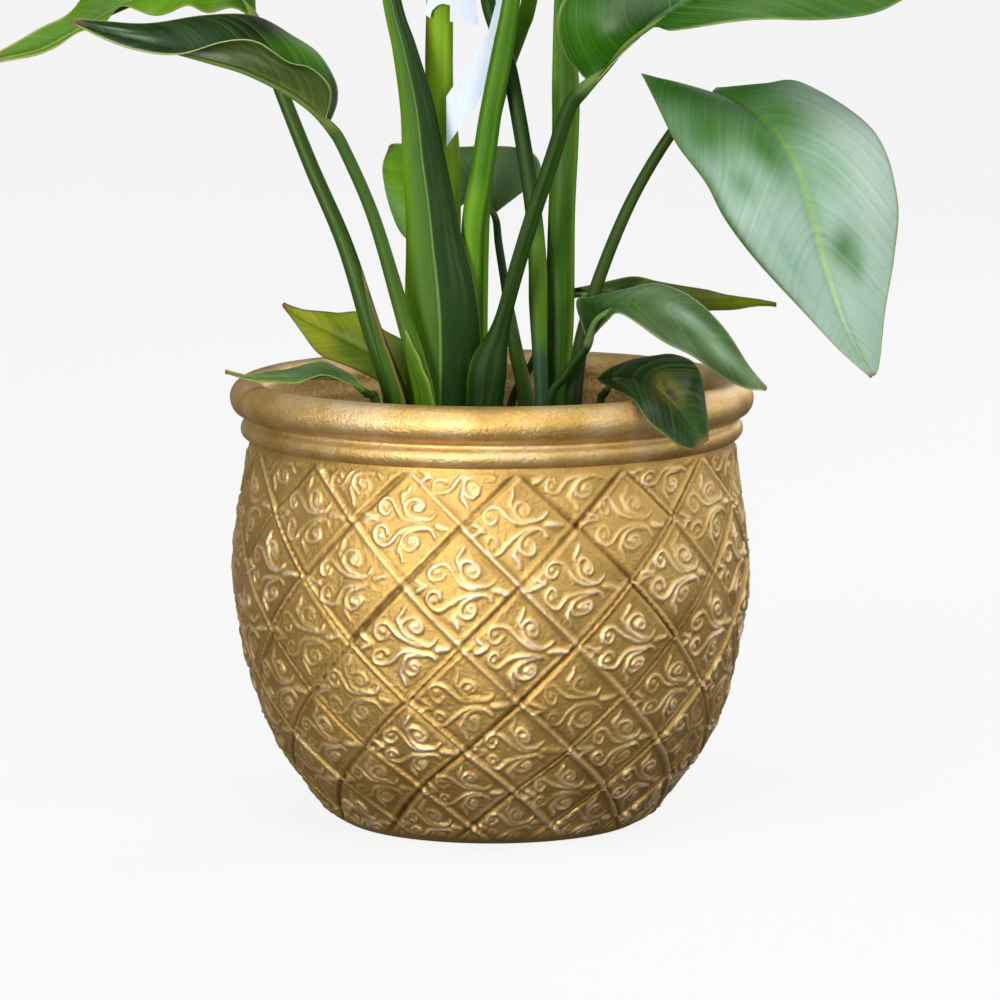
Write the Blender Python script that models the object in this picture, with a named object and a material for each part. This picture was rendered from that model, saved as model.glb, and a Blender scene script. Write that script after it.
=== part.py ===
"""Strelitzia planted in a round gold clay pot.

The origin is the centre of the pot's foot, where it stands. +Z is up and +X runs to the right of a viewer
who looks along +Y. Sizes in this file are millimetres until MM turns them into Blender's metres.
"""

import math

import bmesh
import bpy
from mathutils import Vector

MM = 0.001

# Driving dimensions of the pot
RIM_ROLL_RADIUS = 10.3
RIM_CENTRE_RADIUS = 134.7
RIM_CENTRE_HEIGHT = 236.5
FOOT_RADIUS = 83.5
BELLY_RADIUS = 142.6
BELLY_HEIGHT = 140.0
WAIST_RADIUS = 133.9
WAIST_HEIGHT = 213.0
BEAD_RADIUS = 138.7
MOUTH_RADIUS = RIM_CENTRE_RADIUS - RIM_ROLL_RADIUS
FLOOR_THICKNESS = 14.0
POT_SEGMENTS = 48
ROLL_STEPS = 9

# Driving dimensions of what the pot holds
SOIL_EDGE_HEIGHT = 199.0
SOIL_CROWN_HEIGHT = 202.0
SOIL_SEGMENTS = 24
FOOT_HEIGHT = 190.0
FIT_GAP = 0.5

# How finely the plant is made
STALK_SIDES = 8
BLADE_CELLS_ACROSS = 4
BLADE_CELLS_ALONG = 10
BLADE_THICKNESS = 1.0
LABEL_THICKNESS = 0.7

# The outer wall below the waist, as (radius, height)
OUTER_WALL = [
    (FOOT_RADIUS, 0),
    (90.4, 4),
    (97.2, 12),
    (107.6, 25),
    (120.4, 45),
    (130.9, 70),
    (138.3, 100),
    (BELLY_RADIUS, BELLY_HEIGHT),
    (139.7, 175),
    (134.6, 205),
    (WAIST_RADIUS, WAIST_HEIGHT),
]
# The moulded band between the waist and the rolled rim
BAND = [(136.4, 214.5), (BEAD_RADIUS, 218), (BEAD_RADIUS, 221), (136.6, 224.5)]
# The inner wall, from under the rim down to the floor, with its small ledge near the top
INNER_WALL = [
    (124.0, 229),
    (122.6, 227),
    (122.4, 213),
    (125.0, 190),
    (129.0, 162),
    (130.6, 140),
    (127.4, 105),
    (119.0, 70),
    (105.0, 42),
    (84.0, 24),
    (60.0, 17),
    (0.0, FLOOR_THICKNESS),
]

# The crown of the rootstock, as the centre and radii of its lobes
CROWN_LOBES = [
    ((-52, -2, 192), (27, 24, 15)),
    ((-14, 12, 191), (38, 33, 17)),
    ((30, 10, 191), (36, 40, 15)),
]
# Thick roots, as heading in degrees, reach and depth of the tip
ROOTS = [
    (20, 92, 92),
    (68, 84, 70),
    (112, 88, 96),
    (160, 94, 74),
    (205, 90, 104),
    (250, 82, 66),
    (292, 88, 90),
    (335, 94, 72),
]

# Each stalk from its foot to its neck: x, y, z and half its width. A broad one is a flattened channel.
STALKS = {
    "left_arching": [(-50, -4, 190, 5.5), (-53, -6, 233, 7), (-57, -6, 248, 6.5), (-66, -5, 273, 5.6),
                     (-81, 0, 320, 4.6), (-100, 6, 364, 4.2), (-118, 12, 409, 3.9), (-130, 15, 441, 3.6)],
    "left_low": [(-36, -10, 190, 5), (-37, -14, 234, 6), (-42, -16, 261, 5.8), (-51, -18, 291, 5),
                 (-65, -25, 339, 4.2), (-80, -33, 375, 4), (-87, -36, 387, 3.4)],
    "left_mottled": [(-50, 13, 190, 2.5), (-49, 14, 218, 2.5), (-50, 15, 234, 2.5)],
    "left_rim": [(-62, -18, 190, 2.6), (-64, -22, 235, 2.6), (-68, -26, 240, 2.3), (-71, -30, 243, 2)],
    "centre_broad": [(-28, 4, 190, 14), (-29, 2, 232, 18), (-30, 2, 278, 19.5), (-30, 3, 307, 18),
                     (-32, 4, 337, 14), (-37, 5, 367, 12), (-42, 6, 396, 9.2), (-48, 8, 428, 6.8),
                     (-55, 10, 455, 5.2), (-66, 12, 520, 4.6), (-84, 14, 600, 4.2), (-104, 18, 680, 3.8)],
    "back_pale": [(-20, 26, 190, 5), (-22, 24, 230, 5.5), (-23, 26, 287, 6), (-25, 30, 365, 7.5),
                  (-29, 32, 404, 7.8), (-29, 34, 448, 7.5), (-29, 38, 520, 5), (-26, 48, 600, 4)],
    "centre_tall": [(-7, 15, 190, 5.5), (-8, 14, 231, 6.5), (-8, 12, 271, 6.5), (-7, 12, 306, 6.5),
                    (-9, 11, 336, 7), (-4, 10, 366, 7.2), (0, 9, 396, 6.2), (6, 8, 426, 6),
                    (11, 7, 455, 5), (20, 6, 520, 4.6), (33, 2, 610, 4.2), (50, -4, 720, 3.8)],
    "back_right": [(0, 32, 190, 4.5), (-1, 31, 229, 4.5), (-1, 34, 286, 4.5), (1, 38, 364, 4.5),
                   (8, 39, 409, 4.6), (16, 38, 437, 4.6), (21, 37, 453, 4.5), (34, 42, 520, 4.2),
                   (54, 50, 600, 4), (68, 58, 645, 3.6)],
    "back_dark": [(25, 7, 190, 4.5), (26, 8, 232, 4.5), (30, 9, 261, 4.2), (30, 10, 277, 4.2),
                  (28, 12, 306, 4.5), (24, 15, 336, 4.8), (19, 18, 366, 4.5), (14, 22, 395, 4.4),
                  (9, 24, 420, 4.2), (3, 25, 437, 4.2), (-2, 26, 454, 4.2), (-5, 23, 482, 4),
                  (-12, 15, 525, 3.8), (-24, 4, 570, 3.6), (-38, -8, 615, 3.4)],
    "front_crossing": [(-3, -9, 190, 7), (-2, -10, 234, 9), (3, -12, 263, 6), (7, -14, 279, 5.2),
                       (14, -18, 309, 4.6), (23, -22, 339, 4.4), (33, -26, 369, 4.4),
                       (42, -31, 397, 4.2), (50, -33, 408, 4)],
    "right_tall": [(36, 21, 190, 5.4), (37, 22, 230, 5.8), (38, 24, 275, 7.4), (39, 24, 335, 7.2),
                   (41, 24, 380, 7.6), (41, 23, 410, 7.6), (39, 22, 454, 4.4), (42, 24, 520, 4.2),
                   (50, 28, 620, 4), (58, 32, 700, 3.6)],
    "right_large": [(44, -2, 190, 5), (45, -2, 233, 5.6), (50, -4, 268, 4.8), (60, -8, 304, 4.6),
                    (78, -14, 346, 4.2), (98, -20, 381, 3.9), (113, -13, 398, 3)],
    "right_low": [(30, -10, 190, 2.5), (32, -12, 234, 2.5), (41, -14, 249, 2.6), (49, -17, 261, 2.8),
                  (53, -19, 267, 2.6)],
    "right_behind": [(12, 42, 190, 2.4), (11, 42, 226, 2.4), (23, 40, 250, 2.3), (34, 37, 274, 2.2),
                     (41, 35, 287, 2)],
    "right_rim": [(58, -18, 190, 2.2), (60, -20, 234, 2.2), (62, -25, 240, 2.2), (64, -30, 244, 2)],
    "back_centre": [(18, 30, 190, 4), (19, 30, 229, 4.5), (13, 38, 260, 4), (8, 44, 291, 2.6),
                    (4, 47, 316, 2.3), (2, 49, 331, 2)],
}
# Depth of a stalk's section as a share of its width
STALK_DEPTH = {"centre_broad": 0.4, "front_crossing": 0.7, "back_pale": 0.85}
USUAL_STALK_DEPTH = 0.9

# Each low blade from its neck to its tip, as rows of midrib, far margin and near margin
BLADES = {
    "left_arching": [
        ((-131, 16, 446), (-130, 17, 447), (-133, 15, 445)),
        ((-139, 20, 456), (-133, 30, 464), (-144, 10, 450)),
        ((-153, 26, 464), (-146, 44, 482), (-158, 6, 449)),
        ((-169, 30, 465), (-165, 50, 489), (-169, 4, 450)),
        ((-185, 32, 460), (-186, 50, 487), (-188, 8, 448)),
        ((-201, 33, 452), (-205, 46, 476), (-204, 16, 449)),
        ((-218, 33, 444), (-226, 40, 458), (-218, 24, 441)),
        ((-234, 32, 435), (-240, 36, 443), (-230, 26, 434)),
        ((-252, 31, 426), (-258, 33, 434), (-251, 28, 424)),
        ((-280, 30, 420), (-280, 30, 422), (-279, 30, 418)),
    ],
    "left_low": [
        ((-89, -38, 391), (-87, -37, 392), (-91, -39, 390)),
        ((-95, -42, 398), (-84, -30, 402), (-87, -56, 409)),
        ((-105, -46, 406), (-86, -24, 413), (-97, -64, 422)),
        ((-119, -50, 414), (-95, -20, 428), (-109, -70, 426)),
        ((-134, -54, 421), (-108, -20, 437), (-126, -74, 436)),
        ((-151, -57, 426), (-129, -24, 447), (-144, -75, 436)),
        ((-170, -58, 431), (-156, -32, 448), (-168, -72, 430)),
        ((-189, -58, 436), (-185, -42, 445), (-192, -66, 432)),
        ((-208, -57, 441), (-207, -48, 446), (-209, -61, 437)),
        ((-227, -56, 447), (-226, -55, 448), (-227, -57, 446)),
    ],
    "left_mottled": [
        ((-51, 16, 237), (-49, 17, 238), (-53, 15, 236)),
        ((-54, 20, 246), (-48, 28, 261), (-60, 16, 241)),
        ((-64, 24, 255), (-61, 32, 270), (-71, 18, 246)),
        ((-77, 27, 262), (-74, 35, 279), (-84, 20, 252)),
        ((-91, 29, 269), (-88, 34, 279), (-97, 22, 257)),
        ((-105, 30, 276), (-105, 31, 281), (-107, 27, 270)),
        ((-117, 30, 284), (-116, 30, 285), (-117, 30, 283)),
    ],
    "left_rim": [
        ((-72, -32, 245), (-71, -31, 246), (-73, -33, 244)),
        ((-78, -37, 250), (-80, -33, 254), (-79, -40, 248)),
        ((-91, -44, 253), (-91, -36, 259), (-93, -50, 253)),
        ((-106, -50, 253), (-105, -42, 258), (-107, -56, 250)),
        ((-121, -52, 253), (-120, -46, 255), (-120, -57, 250)),
        ((-133, -52, 253), (-132, -50, 254), (-134, -54, 252)),
        ((-145, -52, 256), (-145, -51, 257), (-145, -53, 255)),
    ],
    "back_centre": [
        ((2, 50, 334), (4, 50, 335), (0, 49, 333)),
        ((-5, 56, 341), (26, 60, 352), (-13, 54, 338)),
        ((-14, 62, 346), (23, 72, 366), (-16, 56, 337)),
        ((-26, 66, 351), (0, 78, 368), (-22, 58, 330)),
        ((-40, 68, 355), (-24, 78, 369), (-38, 58, 316)),
        ((-50, 68, 360), (-43, 74, 370), (-52, 60, 322)),
        ((-55, 67, 366), (-52, 69, 371), (-61, 62, 355)),
        ((-57, 66, 370), (-56, 66, 371), (-58, 65, 369)),
    ],
    "front_crossing": [
        ((54, -34, 412), (52, -33, 413), (56, -35, 411)),
        ((62, -38, 421), (48, -30, 417), (63, -42, 419)),
        ((73, -44, 432), (40, -30, 428), (75, -48, 432)),
        ((83, -50, 441), (37, -34, 450), (87, -52, 443)),
        ((95, -54, 450), (52, -36, 474), (97, -62, 442)),
        ((115, -58, 461), (87, -38, 496), (120, -72, 445)),
        ((142, -60, 468), (130, -42, 508), (147, -78, 448)),
        ((172, -60, 470), (170, -46, 507), (176, -78, 449)),
        ((201, -59, 469), (205, -50, 493), (206, -70, 452)),
        ((227, -58, 470), (231, -54, 480), (225, -62, 460)),
        ((246, -57, 473), (247, -56, 474), (246, -58, 472)),
    ],
    "right_large": [
        ((121, -8, 405), (87, -20, 413), (124, 0, 407)),
        ((132, -22, 402), (90, -32, 401), (150, -6, 410)),
        ((150, -44, 391), (101, -46, 379), (171, -24, 410)),
        ((165, -62, 369), (116, -60, 359), (207, -52, 387)),
        ((173, -74, 343), (126, -72, 341), (219, -70, 353)),
        ((179, -82, 319), (144, -80, 318), (217, -80, 322)),
        ((188, -88, 291), (170, -86, 290), (212, -88, 294)),
        ((197, -91, 272), (187, -90, 272), (209, -92, 267)),
        ((205, -93, 258), (204, -93, 257), (207, -93, 259)),
    ],
    "right_low": [
        ((54, -21, 270), (52, -20, 272), (56, -24, 272)),
        ((59, -26, 281), (47, -16, 290), (63, -32, 281)),
        ((66, -34, 289), (53, -18, 293), (69, -38, 286)),
        ((81, -44, 292), (76, -26, 298), (80, -48, 281)),
        ((96, -52, 291), (92, -34, 302), (94, -58, 273)),
        ((111, -58, 283), (109, -44, 296), (109, -64, 265)),
        ((125, -62, 271), (127, -54, 279), (124, -66, 255)),
        ((138, -64, 259), (141, -62, 259), (139, -66, 248)),
        ((150, -65, 248), (150, -64, 249), (149, -66, 247)),
    ],
    "right_behind": [
        ((44, 34, 291), (43, 34, 292), (44, 33, 290)),
        ((58, 28, 290), (56, 30, 295), (59, 27, 286)),
        ((77, 20, 290), (78, 24, 300), (75, 17, 284)),
        ((96, 12, 289), (94, 16, 298), (96, 8, 281)),
        ((116, 6, 288), (116, 10, 295), (119, 2, 283)),
        ((132, 3, 288), (130, 5, 292), (133, 1, 284)),
        ((147, 2, 288), (147, 3, 290), (147, 1, 286)),
        ((158, 2, 287), (158, 3, 288), (158, 1, 286)),
    ],
    "right_rim": [
        ((58, -34, 249), (57, -34, 250), (59, -34, 248)),
        ((65, -52, 252), (66, -46, 258), (65, -60, 248)),
        ((75, -84, 256), (77, -68, 265), (73, -105, 249)),
        ((82, -100, 256), (88, -78, 267), (78, -123, 246)),
        ((89, -113, 254), (100, -88, 268), (83, -132, 239)),
        ((99, -123, 245), (111, -106, 264), (92, -135, 232)),
        ((106, -128, 235), (115, -118, 244), (101, -134, 225)),
        ((111, -130, 225), (116, -127, 228), (108, -132, 223)),
    ],
}

# Each tall blade: neck, heading and rise in degrees, length, width, droop and fold in degrees
TALL_BLADES = {
    "centre_broad": ((-106, 18, 685), 168, 66, 270, 112, 48, 24),
    "back_pale": ((-25, 50, 605), 98, 70, 235, 96, 40, 28),
    "centre_tall": ((51, -4, 725), -20, 74, 285, 118, 44, 22),
    "back_right": ((70, 60, 649), 42, 60, 240, 98, 46, 26),
    "back_dark": ((-40, -10, 619), 222, 56, 225, 88, 44, 30),
    "right_tall": ((59, 33, 705), 20, 68, 250, 104, 50, 24),
}

# The care label's card hangs round the pale stalk, and its tail runs down in front of it, as (x, z)
CARD_OUTLINE = [
    (-34, 444), (-33, 448), (-30, 451), (-27, 452), (-23, 451), (-23, 442), (-21, 442),
    (-20, 450), (-17, 447), (-15, 442), (-7, 440), (-9, 454), (-12, 484), (-36, 484), (-35, 456), (-37, 446),
]
CARD_FRONT = 24.0
TAIL_OUTLINE = [(-25, 373), (-6, 401), (10, 438), (13, 462), (5, 462), (-2, 436), (-25, 401)]
TAIL_FRONT = 16.6

GOLD_CLAY = ((0.55, 0.36, 0.11), 0.38, 0.8)
PEAT = ((0.05, 0.033, 0.022), 0.95, 0.0)
ROOT_BARK = ((0.36, 0.25, 0.14), 0.8, 0.0)
STALK_GREEN = ((0.09, 0.24, 0.045), 0.4, 0.0)
BLADE_GREEN = ((0.05, 0.2, 0.04), 0.35, 0.0)
LABEL_WHITE = ((0.82, 0.84, 0.87), 0.5, 0.0)


def clear_scene():
    for obj in list(bpy.data.objects):
        bpy.data.objects.remove(obj)


def finish_mat(name, look):
    """A plain shader with the colour, roughness and metallic value of one finish."""
    colour, roughness, metallic = look
    material = bpy.data.materials.new(name)
    material.use_nodes = True
    shader = material.node_tree.nodes["Principled BSDF"]
    shader.inputs["Base Color"].default_value = (*colour, 1)
    shader.inputs["Roughness"].default_value = roughness
    shader.inputs["Metallic"].default_value = metallic
    return material


def object_from(bm, name, material=None, smooth=True):
    """Links the shape as an object, scaled to metres."""
    bmesh.ops.scale(bm, verts=bm.verts, vec=(MM, MM, MM))
    mesh = bpy.data.meshes.new(name)
    bm.to_mesh(mesh)
    bm.free()
    if smooth:
        mesh.shade_smooth()
        mesh.set_sharp_from_angle(angle=math.radians(40))
    obj = bpy.data.objects.new(name, mesh)
    bpy.context.scene.collection.objects.link(obj)
    if material:
        mesh.materials.append(material)
    return obj


def on_curve(points, place):
    """The point at place, from 0 to 1, on a smooth curve through the points."""
    last = len(points) - 1
    span = min(int(place * last), last - 1)
    t = place * last - span
    before = points[max(span - 1, 0)]
    start, end = points[span], points[span + 1]
    after = points[min(span + 2, last)]
    return (
        start
        + (end - before) * (t / 2)
        + (before * 2 - start * 5 + end * 4 - after) * (t * t / 2)
        + (start * 3 - before - end * 3 + after) * (t**3 / 2)
    )


def turned(name, profile, segments, material):
    """Turns a closed profile of (radius, height), which starts and ends on the axis."""
    bm = bmesh.new()
    verts = [bm.verts.new((radius, 0, height)) for radius, height in profile]
    edges = [bm.edges.new(pair) for pair in zip(verts, verts[1:])]
    bmesh.ops.spin(bm, geom=verts + edges, cent=(0, 0, 0), axis=(0, 0, 1), angle=math.tau,
                   steps=segments, use_merge=True)
    bmesh.ops.remove_doubles(bm, verts=bm.verts, dist=0.01)
    bmesh.ops.recalc_face_normals(bm, faces=bm.faces)
    return object_from(bm, name, material)


def rim_roll():
    """The rolled rim's section, from the groove under it over the top to the mouth."""
    first, last = math.radians(-62), math.radians(180)
    angles = [first + (last - first) * step / ROLL_STEPS for step in range(ROLL_STEPS + 1)]
    return [
        (RIM_CENTRE_RADIUS + RIM_ROLL_RADIUS * math.cos(a), RIM_CENTRE_HEIGHT + RIM_ROLL_RADIUS * math.sin(a))
        for a in angles
    ]


def make_pot(material):
    profile = [(0, 0)] + OUTER_WALL + BAND + rim_roll() + INNER_WALL
    return turned("clay_pot", profile, POT_SEGMENTS, material)


def make_soil(material):
    """The potting mix fills the pot to well under the rim, a fit gap clear of the wall."""
    wall = [(radius - FIT_GAP, height + FIT_GAP) for radius, height in INNER_WALL[:-1] if height < SOIL_EDGE_HEIGHT]
    rim = (124.0 - FIT_GAP, SOIL_EDGE_HEIGHT)
    floor = (0, FLOOR_THICKNESS + FIT_GAP)
    profile = [floor] + wall[::-1] + [rim, (60, SOIL_CROWN_HEIGHT), (0, SOIL_CROWN_HEIGHT)]
    return turned("potting_soil", profile, SOIL_SEGMENTS, material)


def bent_post(name, rows, sides, depth, grow=0.0, material=None, broad_way=(1, 0, 0)):
    """A post bent along the rows of x, y, z and half width. Its section is broad along broad_way."""
    bm = bmesh.new()
    bmesh.ops.create_cone(bm, cap_ends=True, segments=sides, radius1=1, radius2=1, depth=1)
    uprights = [edge for edge in bm.edges if abs(edge.verts[0].co.z - edge.verts[1].co.z) > 0.5]
    bmesh.ops.subdivide_edges(bm, edges=uprights, cuts=len(rows))
    centres = [Vector(row[:3]) for row in rows]
    centres[0] = centres[0] - Vector((0, 0, grow))
    widths = [Vector((row[3] + grow, 0, 0)) for row in rows]
    for vert in bm.verts:
        place = vert.co.z + 0.5
        angle = math.atan2(vert.co.y, vert.co.x)
        step = 0.01
        tangent = on_curve(centres, min(place + step, 1)) - on_curve(centres, max(place - step, 0))
        tangent.normalize()
        across = Vector(broad_way) - tangent * tangent.dot(broad_way)
        across.normalize()
        through = tangent.cross(across)
        half = on_curve(widths, place).x
        deep = (half - grow) * depth + grow
        vert.co = on_curve(centres, place) + across * (half * math.cos(angle)) + through * (deep * math.sin(angle))
    bmesh.ops.recalc_face_normals(bm, faces=bm.faces)
    return object_from(bm, name, material)


def crown_pieces(grow):
    """The lobes and thick roots of the rootstock as helper solids, each swollen by grow."""
    pieces = []
    for number, (centre, radii) in enumerate(CROWN_LOBES):
        bm = bmesh.new()
        bmesh.ops.create_uvsphere(bm, u_segments=12, v_segments=8, radius=1)
        bmesh.ops.scale(bm, verts=bm.verts, vec=[radius + grow for radius in radii])
        bmesh.ops.translate(bm, verts=bm.verts, vec=centre)
        pieces.append(object_from(bm, f"crown_lobe_{number}_{grow}"))
    for number, (heading, reach, tip_height) in enumerate(ROOTS):
        out = Vector((math.cos(math.radians(heading)), math.sin(math.radians(heading)), 0))
        start = out * 14 + Vector((0, 8, 184))
        rows = [
            (*start, 6),
            (*(out * reach * 0.5 + Vector((0, 5, 166))), 5.5),
            (*(out * reach * 0.85 + Vector((0, 0, 134))), 4.5),
            (*(out * reach + Vector((0, 0, tip_height))), 3),
        ]
        sideways = (-out.y, out.x, 0)
        pieces.append(bent_post(f"root_{number}_{grow}", rows, 6, 1.0, grow, broad_way=sideways))
    return pieces


def helper_group(name, pieces):
    """Hides the helper solids and gathers them for a Boolean."""
    group = bpy.data.collections.new(name)
    bpy.context.scene.collection.children.link(group)
    for piece in pieces:
        bpy.context.scene.collection.objects.unlink(piece)
        group.objects.link(piece)
        piece.hide_render = True
        piece.display_type = "WIRE"
    return group


def combine(target, group, operation):
    modifier = target.modifiers.new(group.name, "BOOLEAN")
    modifier.operand_type = "COLLECTION"
    modifier.collection = group
    modifier.operation = operation
    modifier.solver = "EXACT"


def paddle_rows(neck, heading, rise, length, width, droop, fold):
    """Rows of a tall paddle blade that rises from its neck and bends over towards its tip."""
    rows = []
    count = 8
    point = Vector(neck)
    turn = math.radians(heading)
    side = Vector((-math.sin(turn), math.cos(turn), 0))
    for number in range(count + 1):
        share = number / count
        lift = math.radians(rise - droop * share**1.5)
        ahead = Vector((math.cos(turn) * math.cos(lift), math.sin(turn) * math.cos(lift), math.sin(lift)))
        up = ahead.cross(side) * -1
        half = max(width / 2 * math.sin(math.pi * share**0.8) ** 0.7, 1.5)
        reach = side * (half * math.cos(math.radians(fold)))
        raised = up * (half * math.sin(math.radians(fold)))
        rows.append((point.copy(), point + reach + raised, point - reach + raised))
        point += ahead * (length / count)
    return rows


def make_blade(name, rows, material):
    """A thin leaf blade: a grid laid over the rows from one margin across the midrib to the other."""
    bm = bmesh.new()
    bmesh.ops.create_grid(bm, x_segments=BLADE_CELLS_ACROSS, y_segments=BLADE_CELLS_ALONG, size=0.5)
    midribs, far, near = [[Vector(point) for point in line] for line in zip(*rows)]
    for vert in bm.verts:
        place = min(max(vert.co.y + 0.5, 0), 1)
        out = vert.co.x * 2
        margin = on_curve(far if out < 0 else near, place)
        vert.co = on_curve(midribs, place).lerp(margin, abs(out))
    blade = object_from(bm, name, material)
    skin = blade.modifiers.new("Leaf thickness", "SOLIDIFY")
    skin.thickness = BLADE_THICKNESS * MM
    skin.offset = 0
    return blade


def make_label_piece(name, outline, front, material):
    """A thin upright sheet cut to the outline of (x, z)."""
    bm = bmesh.new()
    face = bm.faces.new([bm.verts.new((x, front, z)) for x, z in outline])
    pulled = bmesh.ops.extrude_face_region(bm, geom=[face])
    back = [item for item in pulled["geom"] if isinstance(item, bmesh.types.BMVert)]
    bmesh.ops.translate(bm, verts=back, vec=(0, LABEL_THICKNESS, 0))
    bmesh.ops.recalc_face_normals(bm, faces=bm.faces)
    return object_from(bm, name, material, smooth=False)


def make_plant():
    """Every stalk and blade, and the sockets that the stalks' feet need."""
    stalk_mat = finish_mat("stalk_green", STALK_GREEN)
    blade_mat = finish_mat("blade_green", BLADE_GREEN)
    sockets = []
    for leaf, rows in STALKS.items():
        depth = STALK_DEPTH.get(leaf, USUAL_STALK_DEPTH)
        bent_post(f"stalk_{leaf}", rows, STALK_SIDES, depth, material=stalk_mat)
        sockets.append(bent_post(f"socket_{leaf}", rows, STALK_SIDES, depth, FIT_GAP))
        blade_rows = BLADES.get(leaf) or paddle_rows(*TALL_BLADES[leaf])
        make_blade(f"blade_{leaf}", blade_rows, blade_mat)
    return sockets


def make_rootstock(material):
    """One branched rootstock: the first crown lobe, joined with the other lobes and the roots."""
    lobe, *rest = crown_pieces(0.0)
    lobe.name = "rootstock"
    lobe.data.materials.append(material)
    combine(lobe, helper_group("crown and roots", rest), "UNION")
    return lobe


def main():
    clear_scene()
    make_pot(finish_mat("gold_clay", GOLD_CLAY))
    soil = make_soil(finish_mat("peat_mix", PEAT))
    sockets = helper_group("stalk sockets", make_plant())
    rootstock = make_rootstock(finish_mat("root_bark", ROOT_BARK))
    combine(rootstock, sockets, "DIFFERENCE")
    combine(soil, helper_group("swollen rootstock", crown_pieces(FIT_GAP)), "DIFFERENCE")
    combine(soil, sockets, "DIFFERENCE")
    label_mat = finish_mat("label_white", LABEL_WHITE)
    make_label_piece("label_card", CARD_OUTLINE, CARD_FRONT, label_mat)
    make_label_piece("label_tail", TAIL_OUTLINE, TAIL_FRONT, label_mat)


main()
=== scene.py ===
"""Visual model of the strelitzia planted in its round gold clay pot.

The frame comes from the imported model: metres, +Z up, the origin under the middle of the pot's foot, and
+X to the right of a viewer who looks along +Y. Tables in this file are millimetres until MM is applied.
"""

import math
import random

import bmesh
import bpy
import numpy as np
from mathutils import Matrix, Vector, noise


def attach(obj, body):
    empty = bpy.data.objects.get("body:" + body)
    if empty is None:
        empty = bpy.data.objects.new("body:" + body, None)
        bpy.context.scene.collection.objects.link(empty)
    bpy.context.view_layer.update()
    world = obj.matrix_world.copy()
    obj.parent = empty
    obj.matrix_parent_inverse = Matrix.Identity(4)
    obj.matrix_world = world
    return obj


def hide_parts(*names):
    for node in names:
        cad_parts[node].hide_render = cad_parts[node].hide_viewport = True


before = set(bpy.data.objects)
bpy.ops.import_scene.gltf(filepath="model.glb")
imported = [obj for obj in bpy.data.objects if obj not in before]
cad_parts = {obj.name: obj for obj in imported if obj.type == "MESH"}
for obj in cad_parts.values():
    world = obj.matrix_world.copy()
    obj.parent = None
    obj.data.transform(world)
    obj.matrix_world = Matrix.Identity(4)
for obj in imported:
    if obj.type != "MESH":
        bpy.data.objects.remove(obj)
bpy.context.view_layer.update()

MM = 0.001

# Camera and studio
CAMERA_PLACE = (0.00473, -3.0141, 0.6045)
CAMERA_TILT = 81.94
CAMERA_LENS = 196.9

# Pot
DIAMONDS_AROUND = 14
DIAMOND_TURN = 0.25
# Heights of the lattice's crossings up the wall, and half a diamond's height at each
NODE_HEIGHTS = [-6.0, 12.0, 34.9, 58.5, 86.5, 117.5, 150.5, 182.5, 211.5, 240.0]
HALF_DIAMOND_HEIGHTS = [24, 26, 29, 31, 32.5, 33, 33, 33, 32, 31]
RELIEF_ROWS = 12
POT_RELIEF_LIMITS = (2.0, 212.0)
# Stretches of pressed wall: name, first diamond and number of diamonds
WALL_STRETCHES = [("pot_wall_front", -2.5, 5), ("pot_wall_right", 2.5, 5), ("pot_wall_back_left", 7.5, 4)]
COLUMNS_PER_DIAMOND = 84
BODY_ROWS = 236
RIM_ROLL_RADIUS = 10.3
RIM_CENTRE_RADIUS = 134.7
RIM_CENTRE_HEIGHT = 236.5
WALL = [
    (83.5, 0), (90.4, 4), (97.2, 12), (107.6, 25), (120.4, 45), (130.9, 70), (138.3, 100),
    (142.6, 140), (139.7, 175), (134.6, 205), (133.9, 213),
]
BAND = [(133.9, 213), (134.6, 213.8), (136.4, 214.6), (138.1, 216.4), (138.8, 218.4), (138.9, 220.2),
        (138.2, 222.4), (137.0, 224.0), (136.5, 225.2), (136.9, 226.4), (138.6, 227.2)]
INSIDE = [
    (124.4, 236.5), (124.2, 231.5), (123.6, 229), (122.7, 227.4), (122.4, 224), (122.4, 213), (123.0, 206),
    (124.2, 197),
]

# Potting mix: its radius at the top and its side down to the floor, as (radius, height)
MIX_RADIUS = 123.2
MIX_WALL = [
    (MIX_RADIUS, 199), (124.5, 190), (128.5, 162), (130.1, 140), (126.9, 105), (118.5, 70), (104.5, 42.5),
    (83.5, 24.5), (59.5, 17.5), (0, 14.5),
]
# Lumps of the mix, as (rise, size)
MIX_LUMPS = ((2.2, 17), (1.3, 5), (0.5, 2))
BARK_CHIPS = 420

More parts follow.
